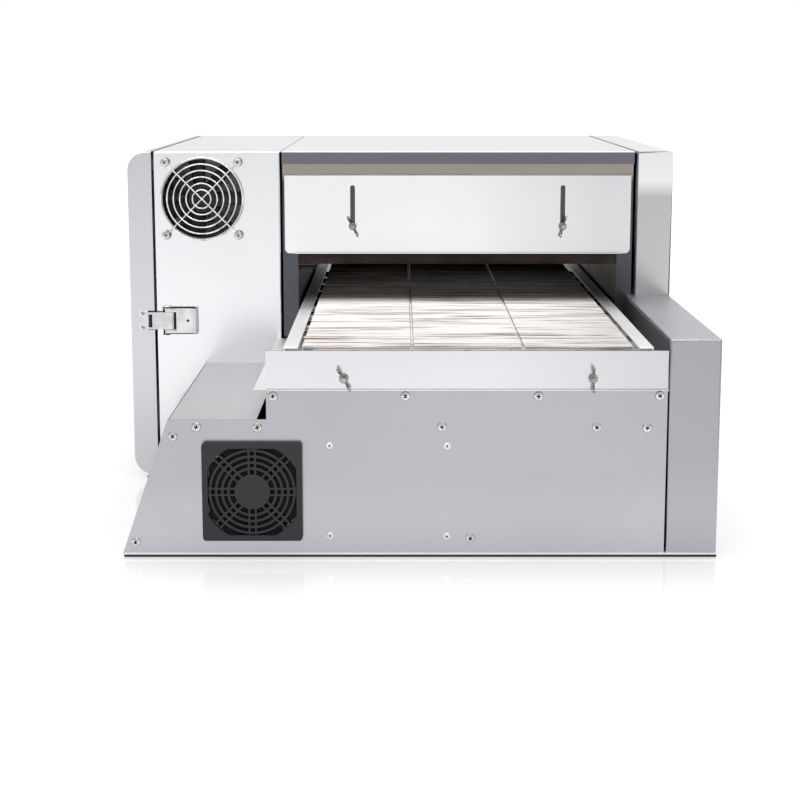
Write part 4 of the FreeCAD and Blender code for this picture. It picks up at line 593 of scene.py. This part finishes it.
def beltStrand():
    left = faceOf("belt_upper_run", "-X") + belt["inset"]
    right = faceOf("belt_upper_run", "+X") - belt["inset"]
    toe, rise = belt["toe"], belt["rise"]
    tip, root = belt["hook"]
    path = [(left, toe, rise), (left, 0, 0)]
    for link in belt["links"]:
        path += [(link - root, 0, 0), (link - tip, toe, rise), (link + tip, toe, rise), (link + root, 0, 0)]
    path += [(right, 0, 0), (right, toe, rise)]
    curve = bpy.data.curves.new("strand", "CURVE")
    curve.dimensions = "3D"
    curve.bevel_depth = belt["wire"] * mm
    curve.bevel_resolution = 1
    curve.use_fill_caps = True
    line = curve.splines.new("POLY")
    line.points.add(len(path) - 1)
    for point, place in zip(line.points, path):
        point.co = tuple(c * mm for c in place) + (1.0,)
    holder = bpy.data.objects.new("strand", curve)
    bpy.context.scene.collection.objects.link(holder)
    mesh = bpy.data.meshes.new_from_object(holder.evaluated_get(bpy.context.evaluated_depsgraph_get()))
    bpy.data.objects.remove(holder)
    mesh.set_sharp_from_angle(angle=math.radians(64))
    return mesh


def buildBelt():
    finishes["beltWire"] = beltWire()
    strand = beltStrand()
    shaft = axisOf["drive_shaft_spin"]
    count = round(2 * shaft.y / belt["pitch"])
    for node in ("belt_upper_run", "belt_lower_run"):
        bm = bmesh.new()
        first = Vector((0, belt["pitch"] / 2 - shaft.y, middleOf(node, "Z")))
        stamp(bm, strand, Matrix.Translation(first * mm))
        run = finishPiece(node + "_strands", bm, ["beltWire"], node, replaces=True)
        repeat = run.modifiers.new("strands", "ARRAY")
        repeat.use_relative_offset = False
        repeat.use_constant_offset = True
        repeat.constant_offset_displace = (0, belt["pitch"] * mm, 0)
        repeat.count = count
    bm = bmesh.new()
    level = middleOf("belt_upper_run", "Z")
    turns = int(math.pi * (level - shaft.z) / belt["pitch"])
    for side in (-1, 1):
        before = len(bm.verts)
        stamp(bm, strand, Matrix.Translation(Vector((0, side * shaft.y, level)) * mm))
        first = bm.verts[before:]
        first = dict.fromkeys(item for vert in first for item in (vert, *vert.link_edges, *vert.link_faces))
        centre = Vector((0, side * shaft.y, shaft.z)) * mm
        bmesh.ops.spin(bm, geom=list(first), axis=(-side, 0, 0), cent=centre, steps=turns, angle=math.pi,
                       use_duplicate=True)
    finishPiece("belt_wraps_strands", bm, ["beltWire"], "belt_wraps", replaces=True)
    print("belt strands", 2 * count + 2 * turns)


buildBelt()


# Wing nuts, cast and zinc plated; each turns with its own body.
wingNut = {
    "hub": [(2.6, 0.0), (6.0, 0.0), (6.0, 1.6), (5.2, 7.4), (4.6, 8.0), (2.6, 8.0)],
    "wing": [(4.2, 1.4), (9.5, 4.6), (15.6, 10.4), (16.4, 13.6),
             (14.2, 15.9), (11.0, 14.2), (7.6, 8.6), (4.2, 7.2)],
    "thickness": 2.8, "round": 1.4, "ease": 0.9,
    "turns": {"baffle": (62, 105), "cover": (60, 90)},      # left and right one, in degrees, as in the CAD
}


def buildNuts():
    hub = turnedFitting("nutHub", wingNut["hub"], 24, closed=True)
    wing = cutFitting("nutWing", wingNut["wing"], wingNut["thickness"], corner=wingNut["round"],
                      edge=wingNut["ease"])
    upright = Matrix.Rotation(math.radians(90), 4, "X")
    middle = Matrix.Translation((0, 0, -wingNut["thickness"] / 2 * mm))
    count = 0
    for end, seatFace, half in (("near", "+Y", 0), ("far", "-Y", 180)):
        for kind, turns in wingNut["turns"].items():
            for hand, turn in zip(("left", "right"), turns):
                node = f"{end}_{kind}_nut_{hand}"
                axis = axisOf[node + "_turn"]
                place = Matrix.Translation(Vector((axis.x, faceOf(node, seatFace), axis.z)) * mm)
                place @= Matrix.Rotation(math.radians(half), 4, "Z")
                place @= Matrix.Rotation(math.radians(turn), 4, "Y")
                place @= upright
                bm = bmesh.new()
                stamp(bm, hub, place)
                for opposite in (0, 180):
                    stand = Matrix.Rotation(math.radians(opposite), 4, "Z") @ upright
                    stamp(bm, wing, place @ stand @ middle)
                finishPiece(node + "_cast", bm, ["nutZinc"], node, replaces=True)
                count += 1
    print("wing nuts", count)


buildNuts()


# Pan-head screws with a cross recess, and low round rivets. Places on the end panels are X and Z.
fasteners = {
    "heads": {"panel": (6.0, 3.0), "guard": (6.2, 2.8), "small": (3.2, 1.8)},    # radius and height
    "rings": [(0.60, 1.0), (0.84, 0.84), (0.96, 0.5), (1.0, 0.0)],    # shares of radius and height
    "cross": (0.46, 0.10, 0.55),    # shares: reach and half width of the radius, depth of the height
    "rivet": [(1.1, 0.4), (1.4, 1.0), (3.2, 0.9), (4.2, 0.5), (4.6, 0.0)],
    "rivetCore": [(0.0, 0.5), (1.2, 0.45)],
    "panelScrews": [
        (-156.3, 204.3), (6.7, 204.5), (170.4, 204.3), (319.6, 204.9), (-251.4, 165.7), (-176, 165.2),
        (-280.7, 154), (51.7, 166), (242.7, 165.3), (305.1, 164.7), (-329.7, 19.5), (87.6, 24.4),
    ],
    "panelRivets": [(-87.2, 141.8), (-87.2, 27.2), (58.4, 141.4), (58.4, 26.5)],
    "guardReach": 52.5,
    "rearRows": {           # columns along Y and levels
        "rear_channel": ((-760, -380, 0, 380, 760), (42.5, 246)),
        "rear_cover": ((-320, 0, 320), (300, 440)),
    },
    "plate": 1.5,           # thickness of the keeper and of the hinge leaves
    "keeperInset": (5.6, 4.1),
    "leafInset": 10, "leafHeight": 75, "leafScrews": 3,
}


def screwHead(name, radius, height):
    reach, half, depth = fasteners["cross"]
    reach, half = reach * radius * mm, half * radius * mm
    bm = bmesh.new()
    (top, _), *lower = fasteners["rings"]
    circle = bmesh.ops.create_circle(bm, segments=20, radius=top * radius * mm)["verts"]
    bmesh.ops.translate(bm, vec=(0, 0, height * mm), verts=circle)
    rim = bm.edges[:]
    edges = rim
    before = top
    for share, level in lower:
        skirt = bmesh.ops.extrude_edge_only(bm, edges=edges)["geom"]
        ring = [item for item in skirt if isinstance(item, bmesh.types.BMVert)]
        edges = [item for item in skirt if isinstance(item, bmesh.types.BMEdge)]
        bmesh.ops.scale(bm, vec=(share / before, share / before, 1), verts=ring)
        bmesh.ops.translate(bm, vec=(0, 0, level * height * mm - ring[0].co.z), verts=ring)
        before = share
    corners = [(reach, -half), (reach, half), (half, half), (half, reach), (-half, reach), (-half, half)]
    corners += [(-x, -y) for x, y in corners]
    points = [bm.verts.new((x, y, height * mm)) for x, y in corners]
    slot = [bm.edges.new(pair) for pair in zip(points, points[1:] + points[:1])]
    bmesh.ops.bridge_loops(bm, edges=rim + slot)
    outside = set(bm.faces)
    sunk = bmesh.ops.extrude_edge_only(bm, edges=slot)["geom"]
    floor = [item for item in sunk if isinstance(item, bmesh.types.BMVert)]
    bmesh.ops.translate(bm, vec=(0, 0, -depth * height * mm), verts=floor)
    bmesh.ops.contextual_create(bm, geom=[item for item in sunk if isinstance(item, bmesh.types.BMEdge)])
    bmesh.ops.recalc_face_normals(bm, faces=bm.faces)
    bm.faces.index_update()
    # The recess takes the second finish, which is dark: painted shade in the recess.
    recess = [face.index for face in bm.faces if face not in outside]
    mesh = fitting(bm, name)
    for index in recess:
        mesh.polygons[index].material_index = 1
    return mesh


# Each screw's cross stands at its own angle, as the driver left it.
def buildFasteners():
    heads = {kind: screwHead(kind + "Screw", *measure) for kind, measure in fasteners["heads"].items()}
    rivet = [turnedFitting("rivetHead", fasteners["rivet"], 14, finish=2)]
    # The rivet's core is dark: painted shade in its hole.
    rivet.append(turnedFitting("rivetCore", fasteners["rivetCore"], 14, finish=1))
    groups = {}

    def put(node, shape, place, way, turn=0.0):
        stamp(groups.setdefault(node, bmesh.new()), shape, facing(place, way, turn))

    for node, face, side in (("near_end_panel", "-Y", -1), ("far_end_panel", "+Y", 1)):
        y = faceOf(node, face)
        for i, (x, z) in enumerate(fasteners["panelScrews"]):
            put(node, heads["panel"], (x, y, z), (0, side, 0), 17 + 37 * i)
        for x, z in fasteners["panelRivets"]:
            for ring in rivet:
                put(node, ring, (x, y, z), (0, side, 0))

    fan = axisOf["upper_fan_spin"]
    y = faceOf("upper_fan_guard", "-Y")
    for i, (across, up) in enumerate(((-1, -1), (1, -1), (-1, 1), (1, 1))):
        place = (fan.x + across * fasteners["guardReach"], y, fan.z + up * fasteners["guardReach"])
        put("upper_fan_guard", heads["guard"], place, (0, -1, 0), 25 * i)

    for node, (columns, levels) in fasteners["rearRows"].items():
        x = faceOf(node, "+X")
        for i, y in enumerate(columns):
            for z in levels:
                put(node, heads["small"], (x, y, z), (1, 0, 0), 31 * i + z)

    across, up = fasteners["keeperInset"]
    x = faceOf("latch_keeper", "-X") + across
    y = faceOf("latch_keeper", "+Y") - fasteners["plate"]
    for z in (faceOf("latch_keeper", "-Z") + up, faceOf("latch_keeper", "+Z") - up):
        put("latch_keeper", heads["small"], (x, y, z), (0, -1, 0), z)

    pin = axisOf["latch_lever_hinge"]
    for face, way in (("-Z", -1), ("+Z", 1)):
        for ring in rivet:
            put("latch_base", ring, (pin.x, pin.y, faceOf("latch_base", face)), (0, 0, way))

    height, count = fasteners["leafHeight"], fasteners["leafScrews"]
    for node, face, inward in (("hinge_housing_leaves", "+X", -1), ("hinge_door_leaves", "-X", 1)):
        x = faceOf(node, face) + inward * fasteners["leafInset"]
        y = faceOf(node, "-Y") + fasteners["plate"]
        for low in (faceOf(node, "-Z"), faceOf(node, "+Z") - height):
            for i in range(count):
                put(node, heads["small"], (x, y, low + (i + 0.5) * height / count), (0, 1, 0), 40 * i)

    for node, bm in groups.items():
        finishPiece(node + "_screws", bm, ["screwNickel", "paintedShadeMetal", "rivetSteel"], node)
    print("screw groups", len(groups))


buildFasteners()


# Electrics behind the door: a vented supply with a barrier strip, and four moulded relays on their heat sink.
electrics = {
    "vent": (17, 3.4), "ventDepth": 0.2, "ventRound": 1.5,
    "ventRows": (112, 138, 164), "ventColumns": 15, "ventPitch": 11,
    "strip": (98, 11.4), "stripDepth": 16, "stripSunk": 0.5, "ways": 7, "wayPitch": 13, "rib": (1.4, 2.2),
    "relays": 4, "sinkDepth": 16, "relayRound": 1.6, "relayTerminals": (14, 21),
    "eases": (0.5, 0.3),        # edges of the strip and of its ribs
}


def buildElectrics():
    away = (-1, 0, 0)
    front = faceOf("power_supply", "-X")
    high, wide = electrics["vent"]
    # Each vent is a thin dark plate on the case: painted shade where a slot would be.
    vent = cutFitting("vent", rectangle(-high / 2, -wide / 2, high / 2, wide / 2), electrics["ventDepth"],
                      corner=electrics["ventRound"])
    bm = bmesh.new()
    for level in electrics["ventRows"]:
        for i in range(electrics["ventColumns"]):
            across = (i - (electrics["ventColumns"] - 1) / 2) * electrics["ventPitch"]
            stamp(bm, vent, facing((front, across, level), away))
    finishPiece("power_supply_vents", bm, ["paintedShadeMetal"], "power_supply")

    # The strip stands on the supply's side, with a rib between every two terminals.
    high, wide = electrics["strip"]
    top = front + electrics["stripSunk"]
    y = faceOf("power_supply", "-Y") - wide / 2
    z = middleOf("power_supply", "Z")
    depth, half, pitch = electrics["stripDepth"], electrics["ways"] / 2, electrics["wayPitch"]
    thick, rise = electrics["rib"]
    stripEase, ribEase = electrics["eases"]
    block = cutFitting("strip", rectangle(-high / 2, -wide / 2, high / 2, wide / 2), depth, edge=stripEase)
    barrier = cutFitting("barrier", rectangle(-thick / 2, -wide / 2, thick / 2, wide / 2), rise, edge=ribEase)
    head = screwHead("terminalScrew", *fasteners["heads"]["small"])
    screws = bmesh.new()
    bm = bmesh.new()
    stamp(bm, block, facing((top + depth, y, z), away))
    for i in range(electrics["ways"] + 1):
        stamp(bm, barrier, facing((top, y, z + (i - half) * pitch), away))
    for i in range(electrics["ways"]):
        stamp(screws, head, facing((top, y, z + (i - half + 0.5) * pitch), away, 50 * i))
    finishPiece("power_supply_strip", bm, ["blackPlastic"], "power_supply")

    # What stands more than a little above the heat sink is plastic.
    bm = cadShape("relay_block")
    plastic = faceOf("relay_block", "+X") - electrics["sinkDepth"] - 1
    for face in bm.faces:
        face.material_index = int(face.calc_center_median().x < plastic * mm)
    corners = [edge for edge in bm.edges if edge.is_convex and edge.calc_face_angle() > squareAngle]
    bmesh.ops.bevel(bm, geom=corners, offset=electrics["relayRound"] * mm, offset_type="OFFSET",
                    affect="EDGES", segments=3, profile=0.5, material=-1, clamp_overlap=True)
    finishPiece("relay_block_moulded", bm, ["caseSheet", "charcoalPlastic"], "relay_block", replaces=True)
    count = electrics["relays"]
    pitch = (faceOf("relay_block", "+Y") - faceOf("relay_block", "-Y")) / count
    reach, rise = electrics["relayTerminals"]
    x, z = faceOf("relay_block", "-X"), middleOf("relay_block", "Z")
    for i in range(count):
        for side in (-1, 1):
            for end in (-1, 1):
                place = (x, (i - (count - 1) / 2) * pitch + side * reach, z + end * rise)
                stamp(screws, head, facing(place, away, 35 * i + 20 * side))
    finishPiece("electrics_screws", screws, ["screwNickel", "paintedShadeMetal"], "relay_block")
    print("electrics 4")


buildElectrics()


# Black foam behind the lower grille, cut to the grille's opening.
filterMat = {"half": 54.4, "chamfer": 23, "round": 2.5, "ease": 0.5, "thickness": 2.0, "gap": 0.1}


def buildFilterMat():
    half = filterMat["half"]
    inner = half - filterMat["chamfer"]
    corner = [(half, inner), (inner, half), (-inner, half), (-half, inner)]
    outline = corner + [(-x, -y) for x, y in corner]
    foam = cutFitting("foam", outline, filterMat["thickness"], corner=filterMat["round"],
                      edge=filterMat["ease"])
    fan = axisOf["lower_fan_spin"]
    bm = bmesh.new()
    stamp(bm, foam, facing((fan.x, faceOf("filter_guard", "+Y") - filterMat["gap"], fan.z), (0, -1, 0)))
    finishPiece("filter_mat", bm, ["filterFoam"], "filter_guard")
    print("filter mat 1")


buildFilterMat()


# A folded lip hangs at the top of each tunnel mouth. It is dark with painted shade, where the tunnel's inside
# is in shadow.
mouthLip = {"inset": 1.5, "low": 320, "high": 337, "behindWall": 0.2, "thickness": 1.2, "hem": 0.5}


def buildMouthLips():
    left = faceOf("tunnel_liner", "-X") + mouthLip["inset"]
    right = faceOf("tunnel_liner", "+X") - mouthLip["inset"]
    low, thickness = mouthLip["low"], mouthLip["thickness"]
    outline = rectangle(0, 0, right - left, mouthLip["high"] - low)
    lip = cutFitting("lip", outline, thickness, edge=mouthLip["hem"])
    upright = Matrix.Rotation(math.radians(90), 4, "X")
    bm = bmesh.new()
    for wall, face, inward in (("near_end_wall", "+Y", 1), ("far_end_wall", "-Y", -1)):
        y = faceOf(wall, face) + inward * mouthLip["behindWall"]
        place = Matrix.Translation(Vector((left, y, low)) * mm)
        back = Matrix.Translation((0, 0, -thickness * mm if inward > 0 else 0))
        stamp(bm, lip, place @ upright @ back)
    finishPiece("mouth_lips", bm, ["paintedShadeLipSheet"], "tunnel_liner")
    print("mouth lips 2")


buildMouthLips()


# A black strip under the end panels and the rear channel, painted shadow where they meet the floor, and a
# bright strip above it, a painted highlight along the bottom edge of the sheet.
paintedShadowAndHighlight = {
    "left": -345, "thickness": 3.1, "round": 0.6,
    "strips": ((0.7, 0.1, 2.9), (0.5, 3.0, 5.6)),       # how far each stands proud, lower and upper level
}


def buildPaintedShadowAndHighlight():
    left, right, end = paintedShadowAndHighlight["left"], faceOf("rear_channel", "+X"), faceOf("far_end_panel", "+Y")
    depth = paintedShadowAndHighlight["thickness"]
    bm = bmesh.new()
    for finish, (proud, low, high) in enumerate(paintedShadowAndHighlight["strips"]):
        runs = [(left, side * (end + proud), right, side * (end + proud - depth)) for side in (-1, 1)]
        runs.append((right + proud, -end, right + proud - depth, end))
        for run in runs:
            strip = cutFitting("paintedStrip", rectangle(*run), high - low, edge=paintedShadowAndHighlight["round"], finish=finish)
            stamp(bm, strip, Matrix.Translation((0, 0, low * mm)))
    finishPiece("painted_shadow_and_highlight", bm, ["rubber", "railSheet"], "feet")
    print("painted shadow and highlight", len(paintedShadowAndHighlight["strips"]) * len(runs))


buildPaintedShadowAndHighlight()


# Marks and grip of the console's controls; the slanted plate gives the directions.
console = {
    "middle": (-315.5, -565, 92.9), "plate": 2.0,
    "across": (0, -1, 0), "upSlope": (0.3279, 0, 0.9447), "out": (-0.9447, 0, 0.3279),
    "knobPlace": -116.6, "knobTop": 19.0,
    "print": 0.12,      # thickness of a mark; bars have their two ends, their width and maybe their own
    "pointer": (5.0, 12.4, 1.6, 0.25), "restTurn": -135,
    "ribs": 30, "ribCircle": 14.0, "ribFoot": 8.0, "rib": [(0.0, 0.0), (0.7, 0.0), (0.6, 10.2), (0.0, 10.6)],
    "ticks": 11, "tick": (21.0, 25.0, 0.8), "sweep": 270,
    "rockerPlace": 125, "rockerPin": -2.0, "rockerLean": -8, "rockerSlope": 4.9,
    "markPlace": 8.0, "markRise": 4.3, "onBar": (-2.5, 2.5, 0.7), "offRing": (1.9, 2.5),
}


def buildConsoleMarks():
    face = Matrix([console["across"], console["upSlope"], console["out"]]).transposed().to_4x4()
    face = Matrix.Translation(Vector(console["middle"]) * mm) @ face

    def spot(across, up, rise, turn=0.0):
        lift = Matrix.Translation(Vector((across, up, rise)) * mm)
        return face @ lift @ Matrix.Rotation(math.radians(-turn), 4, "Z")

    def bar(name, low, high, width, thickness=console["print"]):
        return cutFitting(name, rectangle(-width / 2, low, width / 2, high), thickness)

    # A scale round the knob, and a white pointer and grip ribs on it.
    knob = console["knobPlace"]
    bm = bmesh.new()
    tick = bar("tick", *console["tick"])
    for i in range(console["ticks"]):
        turn = console["sweep"] * (i / (console["ticks"] - 1) - 0.5)
        stamp(bm, tick, spot(knob, 0, console["plate"], turn))
    finishPiece("control_plate_scale", bm, ["padPrint"], "control_plate")
    bm = bmesh.new()
    stamp(bm, bar("pointer", *console["pointer"]), spot(knob, 0, console["knobTop"], console["restTurn"]))
    finishPiece("speed_knob_pointer", bm, ["padPrint"], "speed_knob")
    bm = bmesh.new()
    rib = turnedFitting("gripRib", console["rib"], 8)
    for i in range(console["ribs"]):
        turn = math.tau * i / console["ribs"]
        across, up = console["ribCircle"] * math.sin(turn), console["ribCircle"] * math.cos(turn)
        stamp(bm, rib, spot(knob + across, up, console["ribFoot"]))
    finishPiece("speed_knob_ribs", bm, ["blackPlastic"], "speed_knob")

    # The switch's two ends: a bar for on, a ring for off.
    pivot = Matrix.Translation((0, 0, console["rockerPin"] * mm))
    lean = pivot @ Matrix.Rotation(math.radians(console["rockerLean"]), 4, "X") @ pivot.inverted()
    inner, outer = console["offRing"]
    ring = turnedFitting("offRing", rectangle(inner, 0.0, outer, console["print"]), 24, closed=True)
    bm = bmesh.new()
    for mark, hand in ((bar("onBar", *console["onBar"]), 1), (ring, -1)):
        lift = Matrix.Translation((0, hand * console["markPlace"] * mm, console["markRise"] * mm))
        slope = Matrix.Rotation(math.radians(hand * console["rockerSlope"]), 4, "X")
        stamp(bm, mark, spot(console["rockerPlace"], 0, 0) @ lean @ lift @ slope)
    finishPiece("power_switch_marks", bm, ["padPrint"], "power_switch")
    print("console marks 4")


buildConsoleMarks()
